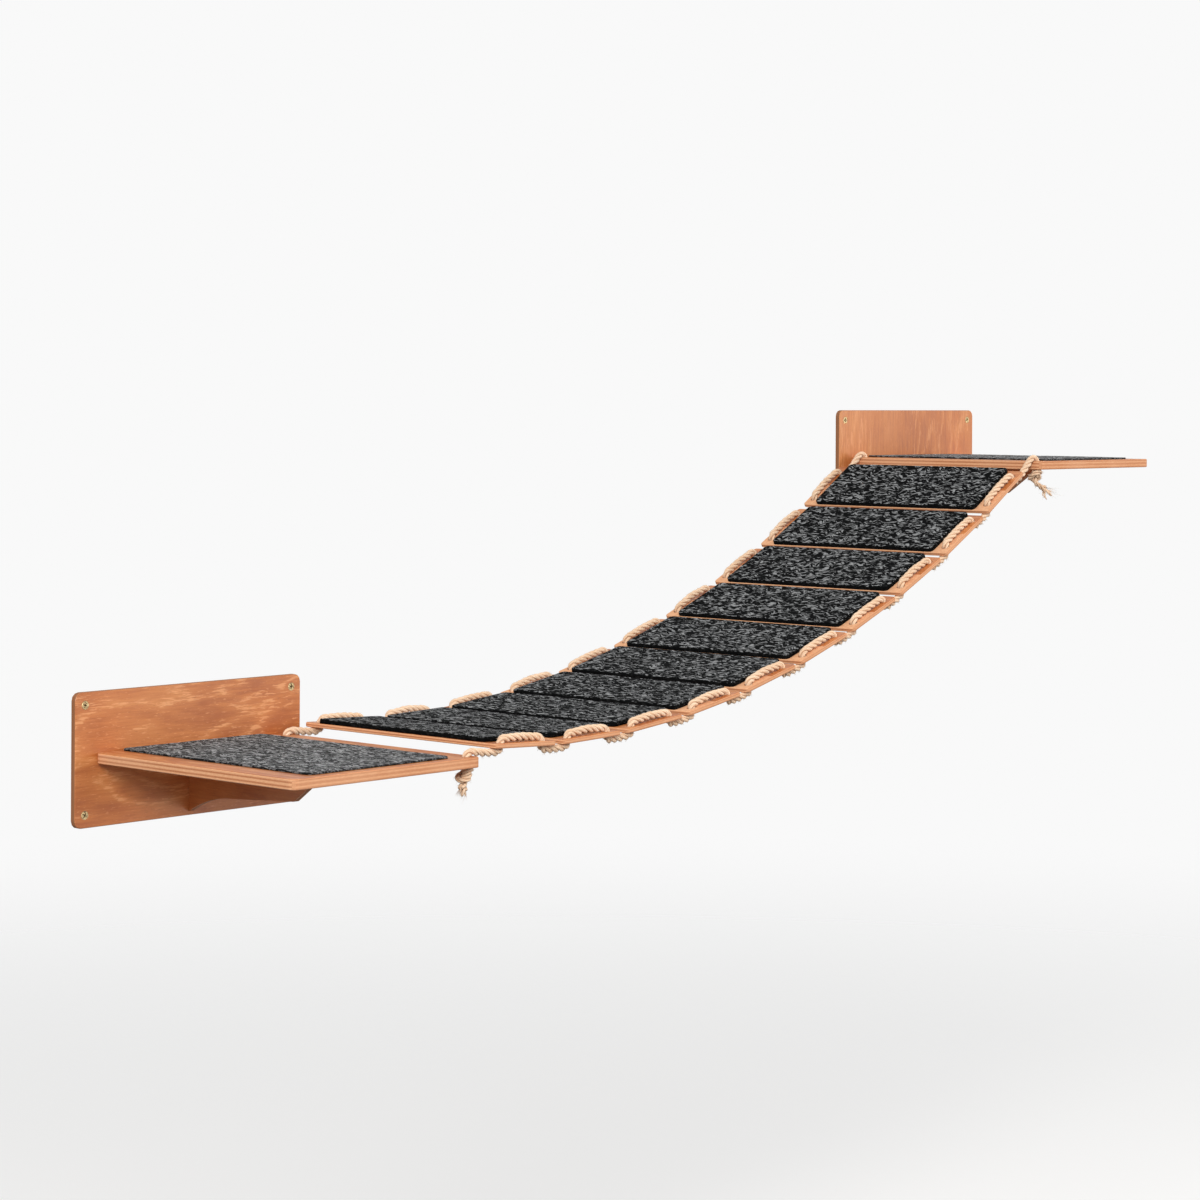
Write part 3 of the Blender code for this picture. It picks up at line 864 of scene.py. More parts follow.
@dataclass
class FeltPads:
    """All the felt: one pad on each slat, and a thinner one on each board, made paler by painted light, with
    less painted shade on its sides.
    """

    slat_corner: float = 0.005
    shelf_corner: float = 0.008
    shelf_seeds: tuple = ((ShelfName.LOWER, 61.0), (ShelfName.UPPER, 83.0))
    finish: CharcoalFelt = CharcoalFelt()

    def build(self) -> None:
        """Make the pads."""
        for number in range(1, SLATS + 1):
            node, body = f"slat_felt_{number:02d}", slat_name(number)
            FeltPad(node, body, self.slat_corner, 3.0 * number).build(self.finish)
        # the boards' felt: a thinner rim, painted light that makes it paler, and less painted shade on its
        # sides
        thin = {"rim": 0.0008, "sheen_and_painted_light": 0.16, "edge": 0.4, "coarse": 0.48}
        for shelf, seed in self.shelf_seeds:
            node = shelf.value + "_shelf_felt"
            FeltPad(node, SHELVES, self.shelf_corner, seed, **thin).build(self.finish)


@dataclass
class Screw:
    """A countersunk wood screw with a cross recess and a cut thread."""

    length: float
    diameter: float
    head: float
    recess: float
    steps: int = 32
    head_edge: float = 0.03
    head_face: float = 0.97
    plain_share: float = 0.12
    point_share: float = 1.2
    thread_rise: float = 0.0018
    thread_depth: float = 0.14
    thread_slope: float = 3.2
    rows_per_thread: int = 7
    recess_arm: float = 0.115
    recess_depth: float = 0.52
    recess_top: tuple = (0.0006, 1.12)
    recess_levels: tuple = ((-0.55, 0.66), (-1.0, 0.24))

    def reach(self, radius: float, z: float, share: float) -> float:
        """How far the thread stands out from the screw's axis. It shrinks towards the point.

        Args:
            radius: The shank's radius.
            z: Height, 0 at the head's face and less on the way to the point.
            share: Share of a turn round the axis.

        Returns:
            The distance.
        """
        wave = (-z / self.thread_rise + share) % 1.0
        ridge = max(0.0, 1 - abs(wave - 0.5) * self.thread_slope)
        point_from = self.length - self.diameter * self.point_share
        taper = min(1.0, max(0.02, (self.length + z) / (self.length - point_from)))
        return radius * taper * (1 - self.thread_depth + self.thread_depth * ridge)

    def shank(self) -> bpy.types.Mesh:
        """Head, threaded shank and point, with the head's face at the origin and the point down.

        Returns:
            One closed mesh.
        """
        radius, head = self.diameter / 2, self.head / 2
        cone = head - radius
        brim = head * self.head_edge
        profile = [(head * self.head_face, 0.0), (head, -brim), (radius, -cone - brim)]
        threads_from = cone + self.length * self.plain_share
        threaded = self.length - threads_from
        rows = max(24, round(threaded / self.thread_rise * self.rows_per_thread))
        profile += [(radius, -(threads_from + threaded * i / rows)) for i in range(rows + 1)]
        bm = bmesh.new()
        rings = []
        for index, (r, z) in enumerate(profile):
            ring = []
            for step in range(self.steps):
                share = step / self.steps
                reach = self.reach(r, z, share) if index > 3 else r
                angle = 2 * math.pi * share
                ring.append(bm.verts.new((reach * math.cos(angle), reach * math.sin(angle), z)))
            rings.append(ring)
        for upper, lower in zip(rings, rings[1:]):
            for j in range(self.steps):
                k = (j + 1) % self.steps
                bm.faces.new((upper[k], upper[j], lower[j], lower[k]))
        bm.faces.new(rings[0])
        bm.faces.new(reversed(rings[-1]))
        return mesh_from(bm, "screw")

    def recess_tool(self) -> bpy.types.Object:
        """A tapered cross that cuts the driver's recess.

        Returns:
            The tool, to be removed after the cut.
        """
        reach, half = self.recess / 2, self.recess * self.recess_arm
        outline = [(reach, half), (half, half), (half, reach), (-half, reach), (-half, half), (-reach, half)]
        outline += [(-x, -y) for x, y in outline]
        depth = self.recess * self.recess_depth
        levels = [self.recess_top] + [(depth * z, s) for z, s in self.recess_levels]
        bm = bmesh.new()
        rings = [[bm.verts.new((x * s, y * max(s, 0.5), z)) for x, y in outline] for z, s in levels]
        for upper, lower in zip(rings, rings[1:]):
            for j in range(len(outline)):
                k = (j + 1) % len(outline)
                bm.faces.new((upper[j], upper[k], lower[k], lower[j]))
        bm.faces.new(rings[0])
        bm.faces.new(rings[-1])
        bmesh.ops.recalc_face_normals(bm, faces=bm.faces)
        return linked("recess_tool", mesh_from(bm, "recess_tool"))

    def mesh(self) -> bpy.types.Mesh:
        """Cut the recess into the shank's head.

        Returns:
            The whole screw.
        """
        blank, tool = linked("screw_blank", self.shank()), self.recess_tool()
        cut = blank.modifiers.new("recess", "BOOLEAN")
        cut.operation, cut.solver, cut.object = "DIFFERENCE", "EXACT", tool
        bpy.context.view_layer.update()
        graph = bpy.context.evaluated_depsgraph_get()
        mesh = bpy.data.meshes.new_from_object(blank.evaluated_get(graph))
        for helper in (blank, tool):
            bpy.data.objects.remove(helper, do_unlink=True)
        mesh.shade_smooth()
        mesh.set_sharp_from_angle(angle=math.radians(35))
        return mesh


@dataclass
class Screws:
    """All the screws: four wall screws and six joint screws in each shelf."""

    wall: Screw = field(default_factory=lambda: Screw(0.016, 0.0045, 0.0088, 0.0050))
    joint: Screw = field(
        default_factory=lambda: Screw(0.030, 0.0030, 0.0060, 0.0034, steps=20, thread_rise=0.0014)
    )
    brass: ScrewMetal = ScrewMetal(Finish.BRASS, (0.50, 0.38, 0.20, 1), (0.22, 0.15, 0.08, 1))
    zinc: ScrewMetal = ScrewMetal(Finish.ZINC, (0.60, 0.60, 0.58, 1), (0.42, 0.42, 0.40, 1))
    wall_ways: tuple = (Drive.TO_THE_WALL,) * 4
    joint_ways: tuple = (Drive.FROM_THE_WALL,) * 4 + (Drive.DOWN,) * 2
    seed: int = 5

    def drive(self, node: str, screw: bpy.types.Mesh, finish: Finish, way: Drive, turn: float) -> None:
        """Put a screw where its node is.

        Args:
            node: The node's name.
            screw: The screw's mesh, dressed.
            finish: The record's slot.
            way: The way it is driven.
            turn: How far its recess is turned, in degrees.
        """
        low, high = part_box(node)
        point = Vector(way.value)
        head = (low + high) / 2 - point * (high - low).dot(Vector(map(abs, point))) / 2
        face = (-point).to_track_quat("Z", "Y").to_matrix().to_4x4()
        own = screw.copy()
        own.transform(Matrix.Translation(head) @ face @ Matrix.Rotation(math.radians(turn), 4, "Z"))
        piece = placed("driven_" + node, own, finish)
        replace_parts(piece, node)
        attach(piece, SHELVES)

    def build(self) -> None:
        """Drive all the screws."""
        chance = random.Random(self.seed)
        kinds = (
            ("wall", self.wall.mesh(), self.brass, self.wall_ways),
            ("joint", self.joint.mesh(), self.zinc, self.joint_ways),
        )
        for _, screw, metal, _ in kinds:
            screw.materials.clear()
            screw.materials.append(metal.material())
        for shelf in ShelfName:
            for kind, screw, metal, ways in kinds:
                for number, way in enumerate(ways, start=1):
                    node = f"{shelf.value}_{kind}_screw_{number}"
                    self.drive(node, screw, metal.finish, way, chance.uniform(0, 90))


# -------------------------------------------------------------------------------------------------- lines


def lengths_along(line: np.ndarray) -> np.ndarray:
    """How far along a line each of its points is."""
    return np.concatenate([[0.0], np.cumsum(np.linalg.norm(np.diff(line, axis=0), axis=1))])


def respaced(line: np.ndarray, places: np.ndarray) -> np.ndarray:
    """Points of a line at the given lengths along it."""
    along = lengths_along(line)
    return np.stack([np.interp(places, along, line[:, axis]) for axis in range(3)], 1)


def unit(vectors: np.ndarray) -> np.ndarray:
    """Vectors of length 1."""
    return vectors / np.maximum(np.linalg.norm(vectors, axis=-1, keepdims=True), 1e-12)


def circle(middle: Spot, radius: float, start: float, end: float, steps: int = 8) -> list[Spot]:
    """Points along part of a circle.

    Args:
        middle: Its middle.
        radius: Its radius.
        start: Where it starts, in degrees.
        end: Where it ends, in degrees.
        steps: How many steps it has.

    Returns:
        The points.
    """
    angles = [math.radians(start + (end - start) * i / steps) for i in range(steps + 1)]
    return [(middle[0] + radius * math.cos(a), middle[1] + radius * math.sin(a)) for a in angles]


def carried_frame(line: np.ndarray) -> tuple[np.ndarray, np.ndarray]:
    """Directions along a line, and normals that are carried along it without twist.

    Args:
        line: The points.

    Returns:
        The tangents and the normals.
    """
    tangent = unit(np.gradient(line, axis=0))
    normal = np.zeros_like(tangent)
    for first in ((0.0, 1.0, 0.0), (1.0, 0.0, 0.0)):
        start = np.array(first) - tangent[0] * np.dot(first, tangent[0])
        if np.linalg.norm(start) >= 0.1:
            break
    normal[0] = start / np.linalg.norm(start)
    for i in range(1, len(line)):
        carried = normal[i - 1] - tangent[i] * np.dot(normal[i - 1], tangent[i])
        normal[i] = carried / np.linalg.norm(carried)
    return tangent, normal


def round_rings(
    line: np.ndarray, normal: np.ndarray, side: np.ndarray, radii: np.ndarray, sides: int
) -> np.ndarray:
    """Rings round a line.

    Args:
        line: The points.
        normal: Where each ring's first corner lies.
        side: The other direction of each ring's plane.
        radii: Radius at each point.
        sides: Corners of a ring.

    Returns:
        The rings, as (ring, corner, axis).
    """
    angles = (np.arange(sides) * 2 * math.pi / sides)[None, :, None]
    spread = normal[:, None] * np.cos(angles) + side[:, None] * np.sin(angles)
    return line[:, None] + spread * radii[:, None, None]


@dataclass
class Skin:
    """Points and faces of one piece of rope, gathered part by part, with the lay of its fibres."""

    points: list = field(default_factory=list)
    faces: list = field(default_factory=list)
    lay: list = field(default_factory=list)

    def add_rings(self, rings: np.ndarray, along: np.ndarray, wound: float = 1.0) -> None:
        """Add a closed tube.

        Args:
            rings: The tube's rings, as (ring, corner, axis).
            along: How far along the rope each ring is, in metres.
            wound: Share of a turn that the lay makes around the tube.
        """
        count, sides = rings.shape[:2]
        start = len(self.points)
        self.points.extend(map(tuple, rings.reshape(-1, 3)))
        for i in range(count - 1):
            near, far = start + i * sides, start + (i + 1) * sides
            for j in range(sides):
                k = (j + 1) % sides
                self.faces.append((near + j, near + k, far + k, far + j))
                left, right = wound * j / sides, wound * (j + 1) / sides
                self.lay += [along[i], left, along[i], right, along[i + 1], right, along[i + 1], left]
        last = start + (count - 1) * sides
        self.faces.append(tuple(range(start + sides - 1, start - 1, -1)))
        self.faces.append(tuple(range(last, last + sides)))
        self.lay += [along[0], 0.0] * sides + [along[-1], 0.0] * sides

    def add_thread(self, line: np.ndarray, radii: Sequence[float], sides: int) -> None:
        """Add a thin round thread.

        Args:
            line: Its points.
            radii: Its radius at each point.
            sides: Its corners.
        """
        tangent, normal = carried_frame(line)
        ring = round_rings(line, normal, np.cross(tangent, normal), np.asarray(radii), sides)
        self.add_rings(ring, lengths_along(line), 0.3)

    def piece(self, name: str, material: bpy.types.Material) -> bpy.types.Object:
        """Make the object.

        Args:
            name: Its name.
            material: Its material.

        Returns:
            The object, smooth shaded.
        """
        mesh = bpy.data.meshes.new(name)
        mesh.from_pydata(self.points, [], self.faces)
        mesh.uv_layers.new(name="lay").data.foreach_set("uv", np.array(self.lay, np.float32))
        mesh.shade_smooth()
        piece = placed(name, mesh, Finish.ROPE)
        dress(piece, material)
        return piece


# -------------------------------------------------------------------------------------------------- ropes


@dataclass
class Hang:
    """The chain of slats, whose slope grows by one step from slat to slat, and the rope's way along it."""

    board_half: float = 0.125
    board_top: float = 0.0065
    board_thickness: float = 0.0105
    hole_inset: float = 0.009
    pitch: float = 0.100
    slat_thickness: float = 0.005
    first_slope: float = -0.044
    slope_step: float = 0.0745
    lower_run: float = 0.0195
    lower_drop: float = 0.0045
    upper_run: float = 0.0235
    upper_rise: float = 0.0225
    lift: float = 0.0043
    shelf_lift: float = 0.0058
    edge_lift: float = 0.0038
    crest: float = 0.0012
    bend: float = 0.0055
    hole_reach: float = 0.0305
    middle_y: float = -0.1563
    rope_side: float = 0.134
    pivots: list = field(default_factory=list)
    tilts: list = field(default_factory=list)
    upper_middle: Spot = (0.0, 0.0)

    def __post_init__(self) -> None:
        """Lay out the hinges, as (x, z), and the upper shelf's middle."""
        self.tilts = [math.atan(self.first_slope + self.slope_step * i) for i in range(SLATS)]
        over = self.board_top + self.shelf_lift
        self.pivots = [(self.board_half + self.lower_run, over - self.lower_drop)]
        for tilt in self.tilts:
            x, z = self.pivots[-1]
            self.pivots.append((x + self.pitch * math.cos(tilt), z + self.pitch * math.sin(tilt)))
        x, z = self.pivots[-1]
        self.upper_middle = (x + self.upper_run + self.board_half, z + self.upper_rise - over)

    def rope_y(self, side: RopeSide) -> float:
        """Where a rope's middle line is, across the wall."""
        return self.middle_y + side.value * self.rope_side

    def past_slat(self, slat: int, peak: float) -> list[Spot]:
        """The rope up through one slat, over it and down again.

        Args:
            slat: The slat, from 0.
            peak: How far the rope's crest stands above its lowest way over the slat.

        Returns:
            Points (x, z), from the hinge before the slat.
        """
        depth = self.slat_thickness + self.lift
        under, over = -depth + self.bend, self.lift - self.bend
        reach = self.hole_reach
        rising = circle((-reach - self.bend, under), self.bend, -90, 0)
        rising += circle((-reach + self.bend, over), self.bend, 180, 90)
        flat = reach - self.bend
        shares = [i / 8 for i in range(-7, 8)]
        top = [(flat * s, self.lift + peak * math.cos(math.pi / 2 * s) ** 2) for s in shares]
        falling = [(-along, up) for along, up in reversed(rising)]
        cos, sin = math.cos(self.tilts[slat]), math.sin(self.tilts[slat])
        x, z = self.pivots[slat]
        way = []
        for along, up in rising + top + falling:
            along, up = along + self.pitch / 2, up + depth
            way.append((x + along * cos - up * sin, z + along * sin + up * cos))
        return way

    def over_edge(self, corner: Spot, far: Spot) -> list[Spot]:
        """The rope's bend over a board's upper edge, towards the bridge.

        Args:
            corner: The edge, as (x, z).
            far: Where the rope goes to.

        Returns:
            Points (x, z), from the board's face outwards.
        """
        away = (far[0] - corner[0], far[1] - corner[1])
        opening = math.degrees(math.acos(self.edge_lift / math.hypot(*away)))
        bearing = math.degrees(math.atan2(away[1], away[0])) % 360
        if bearing > 270:
            bearing -= 360
        leave = bearing + opening if bearing < 90 else bearing - opening
        return circle(corner, self.edge_lift, 90, leave)


@dataclass
class Knot:
    """An overhand knot, found by drawing a loose one tight until the squeezed rope lies on itself."""

    radius: float = 0.0029
    points: int = 110
    rounds: int = 900
    pushes: int = 2
    looseness: float = 1.25
    lead: float = 0.008
    draw: float = 0.35
    push: float = 0.25
    neighbours: float = 1.6
    flatness: float = 0.80
    line: np.ndarray | None = None

    def tighten(self) -> None:
        """Draw the knot tight. Its line then runs down the Z axis, with the knot about the origin."""
        t = np.linspace(-2.05, 2.05, self.points)
        line = np.stack([t**3 - 3 * t, t**4 - 4 * t**2 + 2, -0.33 * (t**5 - 10 * t)], 1)
        line = line * self.radius * self.looseness
        ends = [np.array((0.0, 0.0, z + math.copysign(self.lead, z))) for z in (line[0, 2], line[-1, 2])]
        lead = np.linspace(ends[0], line[0], 6, endpoint=False)
        tail = np.linspace(line[-1], ends[1], 7)[1:]
        line = self.even(np.concatenate([lead, line, tail]))
        thick = 2 * self.radius
        number = np.arange(self.points)
        for _ in range(self.rounds):
            first, last = line[0].copy(), line[-1].copy()
            line[1:-1] += self.draw * ((line[:-2] + line[2:]) / 2 - line[1:-1])
            step = lengths_along(line)[-1] / (self.points - 1)
            gap = math.ceil(self.neighbours * thick / step)
            distant = np.abs(number[:, None] - number[None]) >= gap
            for _ in range(self.pushes):
                apart = line[:, None] - line[None]
                distance = np.linalg.norm(apart, axis=2) + 1e-9
                push = np.where(distant & (distance < thick), (thick - distance) * self.push / distance, 0)
                line += (apart * push[:, :, None]).sum(1)
            line[0], line[-1] = first, last
            line[[1, -2], :2] = 0
            line = self.even(line)
        self.line = line[::-1] if line[0, 2] < line[-1, 2] else line

    def even(self, line: np.ndarray) -> np.ndarray:
        """The same line with evenly spaced points."""
        return respaced(line, np.linspace(0, lengths_along(line)[-1], self.points))

    def placed_at(
        self, place: Vector, turn: float, mirrored: bool, above: float, below: float
    ) -> np.ndarray:
        """The knot's line, cut to a short lead at each end.

        Args:
            place: The knot's middle.
            turn: How far it is turned about the rope, in degrees.
            mirrored: Whether it is the other hand.
            above: Height of the lead above its middle.
            below: Depth of the tail under its middle.

        Returns:
            The line, from the top down.
        """
        line = self.line * np.array((-1 if mirrored else 1, 1, self.flatness))
        line = line @ np.array(Matrix.Rotation(math.radians(turn), 3, "Z")).T
        number = np.arange(len(line))
        middle = len(line) // 2
        keep = ((number > middle) | (line[:, 2] < above)) & ((number < middle) | (line[:, 2] > -below))
        return line[keep] + np.array(place)


@dataclass(frozen=True)
class RopeEnd:
    """One end of a rope: its knot's turn in degrees, and how its tail drops, leans and frays.

    The fan is where the yarns point, in degrees from straight down to straight out, and the width is the
    rope's at its tip, as a share of its own.
    """

    shelf: ShelfName
    knot_turn: float
    drop: float
    lean: float
    laid: float
    fan: tuple[float, float]
    spread: float
    yarn_length: float
    width: float
    seed: int
    yarns: int = 2

    @property
    def outward(self) -> int:
        """Which way along the wall leads away from the bridge."""
        return -1 if self.shelf is ShelfName.LOWER else 1


@dataclass
class Rope:
    """One rope, laced through the slats, with its knots, in pieces. The knot pieces ride on the shelves, and
    the two middle pieces and the core on the middle slats.
    """

    name: str
    side: RopeSide
    seed: int
    hang: Hang
    knot: Knot
    ends: tuple[RopeEnd, RopeEnd]
    material: bpy.types.Material
    radius: float = 0.0042
    squeezed: float = 0.75
    bent: float = 0.95
    tip_reach: float = 0.002
    squeezed_reach: float = 0.008
    lay_length: float = 0.027
    step: float = 0.0009
    smoothing: int = 3
    sides: int = 10
    strands: int = 3
    strand_reach: float = 0.536
    strand_radius: float = 0.472
    crest_range: tuple = (-0.0006, 0.0009)
    knot_depth: float = 0.0076
    knot_below: float = 0.0078
    knot_side_turn: float = 75
    fray_length: float = 0.005
    fray_open: float = 0.45
    fray_thin: float = 0.15
    fray_rings: int = 5
    fuzz_per_ring: float = 3.2
    fuzz_reach: tuple = (0.0012, 0.0034)
    fuzz_radii: tuple = (0.00011, 0.00010, 0.00009, 0.00003)
    yarn_radii: tuple = ((0, 0.5, 0.85, 1), (0.00105, 0.00095, 0.00080, 0.00035))
    loose_fibres: int = 14
    loose_radii: tuple = (0.00010, 0.00010, 0.00009, 0.00008, 0.00006, 0.00003)
    turn_reach: float = 0.012
    core_share: float = 0.90
    core_rings: int = 6
    way: np.ndarray | None = None
    marks: dict = field(default_factory=dict)
    rings: list = field(default_factory=list)
    along: np.ndarray | None = None

    def hole_and_knot(self, end: RopeEnd) -> tuple[list[Spot], np.ndarray, np.ndarray]:
        """The rope's end at one shelf.

        Args:
            end: Which end.

        Returns:
            The way from the board's top down its hole, then the knot's line, then the tail's line.
        """
        hang, outward = self.hang, end.outward
        shelf_x, shelf_z = (0.0, 0.0) if end.shelf is ShelfName.LOWER else hang.upper_middle
        hole = shelf_x - outward * (hang.board_half - hang.hole_inset)
        top = shelf_z + hang.board_top
        bottom = top - hang.board_thickness
        bend = circle((-hang.bend, hang.edge_lift - hang.bend), hang.bend, 90, 0)
        down = [(hole + outward * x, top + z) for x, z in bend]
        place = Vector((hole, hang.rope_y(self.side), bottom - self.knot_depth))
        turn = end.knot_turn + self.knot_side_turn * self.side.value
        above = self.knot_depth - 0.001
        line = self.knot.placed_at(place, turn, self.side.value * outward > 0, above, self.knot_below)
        shares = np.linspace(0, 1, 16)[1:, None]
        lean = np.array((outward * end.lean, -0.1 * end.lean, 0.0))
        drop = np.array((0.0, 0.0, -end.drop))
        return down, line, line[-1] + (lean * shares**1.35 + drop * shares) * end.laid

    def lay_out(self) -> None:
        """Lay the rope's middle line from one tail's start to the other's, with marks along it."""
        chance = random.Random(self.seed)
        hang = self.hang
        lower_down, lower_knot, lower_tail = self.hole_and_knot(self.ends[0])
        upper_down, upper_knot, upper_tail = self.hole_and_knot(self.ends[1])
        upper_x, upper_z = hang.upper_middle
        lower_corner = (hang.board_half, hang.board_top)
        upper_corner = (upper_x - hang.board_half, upper_z + hang.board_top)
        flat = lower_down[::-1] + hang.over_edge(lower_corner, hang.pivots[0])
        labels = []
        for slat in range(SLATS):
            flat.append(hang.pivots[slat])
            labels.append((f"pivot_{slat}", len(flat) - 1))
            lacing = hang.past_slat(slat, hang.crest + chance.uniform(*self.crest_range))
            labels.append((f"crest_{slat}", len(flat) + len(lacing) // 2))
            flat += lacing
        flat.append(hang.pivots[-1])
        flat += hang.over_edge(upper_corner, hang.pivots[-1])[::-1] + upper_down
        y = hang.rope_y(self.side)
        span = np.array([(x, y, z) for x, z in flat])
        before = np.concatenate([lower_tail[::-1], lower_knot[::-1]])
        raw = np.concatenate([before, span, upper_knot, upper_tail])
        length = lengths_along(raw)
        self.along = np.linspace(0, length[-1], round(length[-1] / self.step) + 1)
        line = respaced(raw, self.along)
        for _ in range(self.smoothing):
            line[1:-1] = line[1:-1] * 0.5 + (line[:-2] + line[2:]) * 0.25
        self.way = line
        first = len(before)
        self.marks = {name: length[first + index] for name, index in labels}
        self.marks |= {"start": 0.0, "lower_hole": length[first - 1]}
        self.marks |= {"upper_hole": length[first + len(span)], "end": length[-1]}
        LOG.info("%s: %.3f m between its frayed ends", self.name, length[-1])

    def widths(self) -> np.ndarray:
        """The rope's radius along it: squeezed in its knots, and less so where it bends over a board.

        Returns:
            The radius at each point of the middle line.
        """
        lower, upper, end = self.marks["lower_hole"], self.marks["upper_hole"], self.along[-1]
        tip, knot = self.tip_reach, self.squeezed_reach
        by_hole = ((-knot, self.squeezed), (-0.001, self.bent), (0.016, self.bent), (0.028, 1.0))
        stops = [(tip, self.ends[0].width), (knot, self.squeezed)]
        stops += [(lower + reach, share) for reach, share in by_hole]
        stops += [(upper - reach, share) for reach, share in reversed(by_hole)]
        stops += [(end - knot, self.squeezed), (end - tip, self.ends[1].width)]
        return self.radius * np.interp(self.along, *zip(*stops))

    def twist(self) -> None:
        """Wind the strands round the middle line, opening them at the frayed ends."""
        tangent, normal = carried_frame(self.way)
        side = np.cross(tangent, normal)
        from_end = np.minimum(self.along, self.along[-1] - self.along)
        fray = np.clip(1 - from_end / self.fray_length, 0, 1) ** 1.5
        radius = self.widths()
        for strand in range(self.strands):
            angle = 2 * math.pi * (self.along / self.lay_length + strand / self.strands)
            outward = normal * np.cos(angle)[:, None] + side * np.sin(angle)[:, None]
            centre = self.way + outward * (radius * (self.strand_reach + self.fray_open * fray))[:, None]
            direction = unit(np.gradient(centre, axis=0))
            out = unit(outward - direction * (outward * direction).sum(1)[:, None])
            radii = radius * self.strand_radius * (1 - self.fray_thin * fray)
            self.rings.append(round_rings(centre, out, np.cross(direction, out), radii, self.sides))

    def ring_at(self, mark: str) -> int:
        """The ring nearest to a mark along the rope."""
        return int(round(self.marks[mark] / self.along[-1] * (len(self.along) - 1)))

    def cut(self, name: str, start: str, end: str, frayed: RopeEnd | None = None) -> bpy.types.Object:
        """One piece of the rope.

        Args:
            name: The end of the piece's name.
            start: The mark where it starts.
            end: The mark where it ends.
            frayed: The end of the rope that it has, if any.

        Returns:
            The piece, standing for the rope's node.
        """
        first, last = self.ring_at(start), self.ring_at(end)
        skin = Skin()
        for rings in self.rings:
            skin.add_rings(rings[first : last + 1], self.along[first : last + 1])
        self.add_fuzz(skin, first, last)
        if frayed:
            self.add_fray(skin, frayed)
        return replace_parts(skin.piece(f"{self.name}_{name}", self.material), self.name)

    def add_fuzz(self, skin: Skin, first: int, last: int) -> None:
        """Loose fibres that stand off the rope.

        Args:
            skin: The piece in the making.
            first: Its first ring.
            last: Its last ring.
        """
        chance = random.Random(self.seed * 1000 + first)
        shares = np.linspace(0, 1, 4)[:, None]
        for _ in range(round((last - first) * self.fuzz_per_ring)):
            index = chance.randint(first + 1, last - 1)
            rings = self.rings[chance.randrange(self.strands)]
            middle = rings[index].mean(0)
            out = unit(middle - self.way[index])
            forward = unit(self.way[min(index + 1, len(self.way) - 1)] - self.way[index - 1])
            aside = np.cross(out, forward) * chance.uniform(-0.8, 0.8)
            reach = chance.uniform(*self.fuzz_reach)
            root = middle + out * self.radius * 0.30
            way = unit(out * chance.uniform(0.2, 0.9) + forward * chance.uniform(-1.0, 1.0) + aside)
            line = root + way * shares * reach + np.array((0, 0, -1.0)) * shares**2 * reach * 0.25
            skin.add_thread(line, self.fuzz_radii, 3)

    def add_fray(self, skin: Skin, end: RopeEnd) -> None:
        """Open a rope's end into yarns and loose fibres.

        Args:
            skin: The piece in the making.
            end: Which end.
        """
        chance = random.Random(end.seed + self.seed)
        tip = 0 if end.shelf is ShelfName.LOWER else len(self.way) - 1
        back = tip - self.fray_rings * end.outward
        onward = unit(self.way[tip] - self.way[back])
        outward = np.array((0.85 * end.outward, -0.5, 0.0))
        count = end.yarns * self.strands
        shares = np.linspace(0, 1, 10)[:, None]
        for yarn in range(count):
            root = self.rings[yarn % self.strands][back].mean(0)
            share = (yarn + chance.uniform(-0.3, 0.3)) / (count - 1)
            bearing = math.radians(end.fan[0] + (end.fan[1] - end.fan[0]) * share)
            away = outward * math.sin(bearing) - np.array(UP) * math.cos(bearing)
            away[1] += chance.uniform(-0.3, 0.3)
            reach = end.yarn_length * chance.uniform(0.75, 1.0)
            line = root + onward * 0.0045 * np.minimum(1, shares * 3) + away * reach * shares**1.25
            line = line + outward * 0.0005 * np.sin(shares * chance.uniform(3, 7))
            skin.add_thread(line, np.interp(shares[:, 0], *self.yarn_radii), 8)
        shares = np.linspace(0, 1, 6)[:, None]
        for rings in self.rings:
            middle = rings[tip].mean(0)
            for _ in range(self.loose_fibres):
                aside = unit(np.array([chance.uniform(-reach, reach) for reach in (1, 1, 0.3)]))
                reach = end.yarn_length * chance.uniform(0.5, 1.1) + 0.002
                line = middle + onward * reach * shares + aside * end.spread * reach * 1.2 * shares**1.4
                skin.add_thread(line, self.loose_radii, 3)

    def turning(self, piece: bpy.types.Object, first_body: str, second_body: str, pivot: int) -> None:
        """Bake a piece's placement into its mesh, at a hinge between two bodies. It rides on neither body and
        does not bend.

        Args:
            piece: The piece.
            first_body: The body before the hinge; not used.
            second_body: The body after it; not used.
            pivot: The hinge's number.
        """
        x, z = self.hang.pivots[pivot]
        middle = Vector((x, self.hang.rope_y(self.side), z))
        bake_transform(piece)

    def core(self, mark: str, body: str) -> None:
        """A short core inside the rope where the two half chains meet, which shows as they part a little.

        Args:
            mark: Where the half chains meet.
            body: The body that it rides on.
        """
        middle = self.ring_at(mark)
        span = slice(middle - self.core_rings, middle + self.core_rings + 1)
        centre = self.way[span][:, None]
        skin = Skin()
        for rings in self.rings:
            skin.add_rings(centre + (rings[span] - centre) * self.core_share, self.along[span])
        piece = skin.piece(self.name + "_middle_core", self.material)
        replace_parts(piece, self.name)
        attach(piece, body)

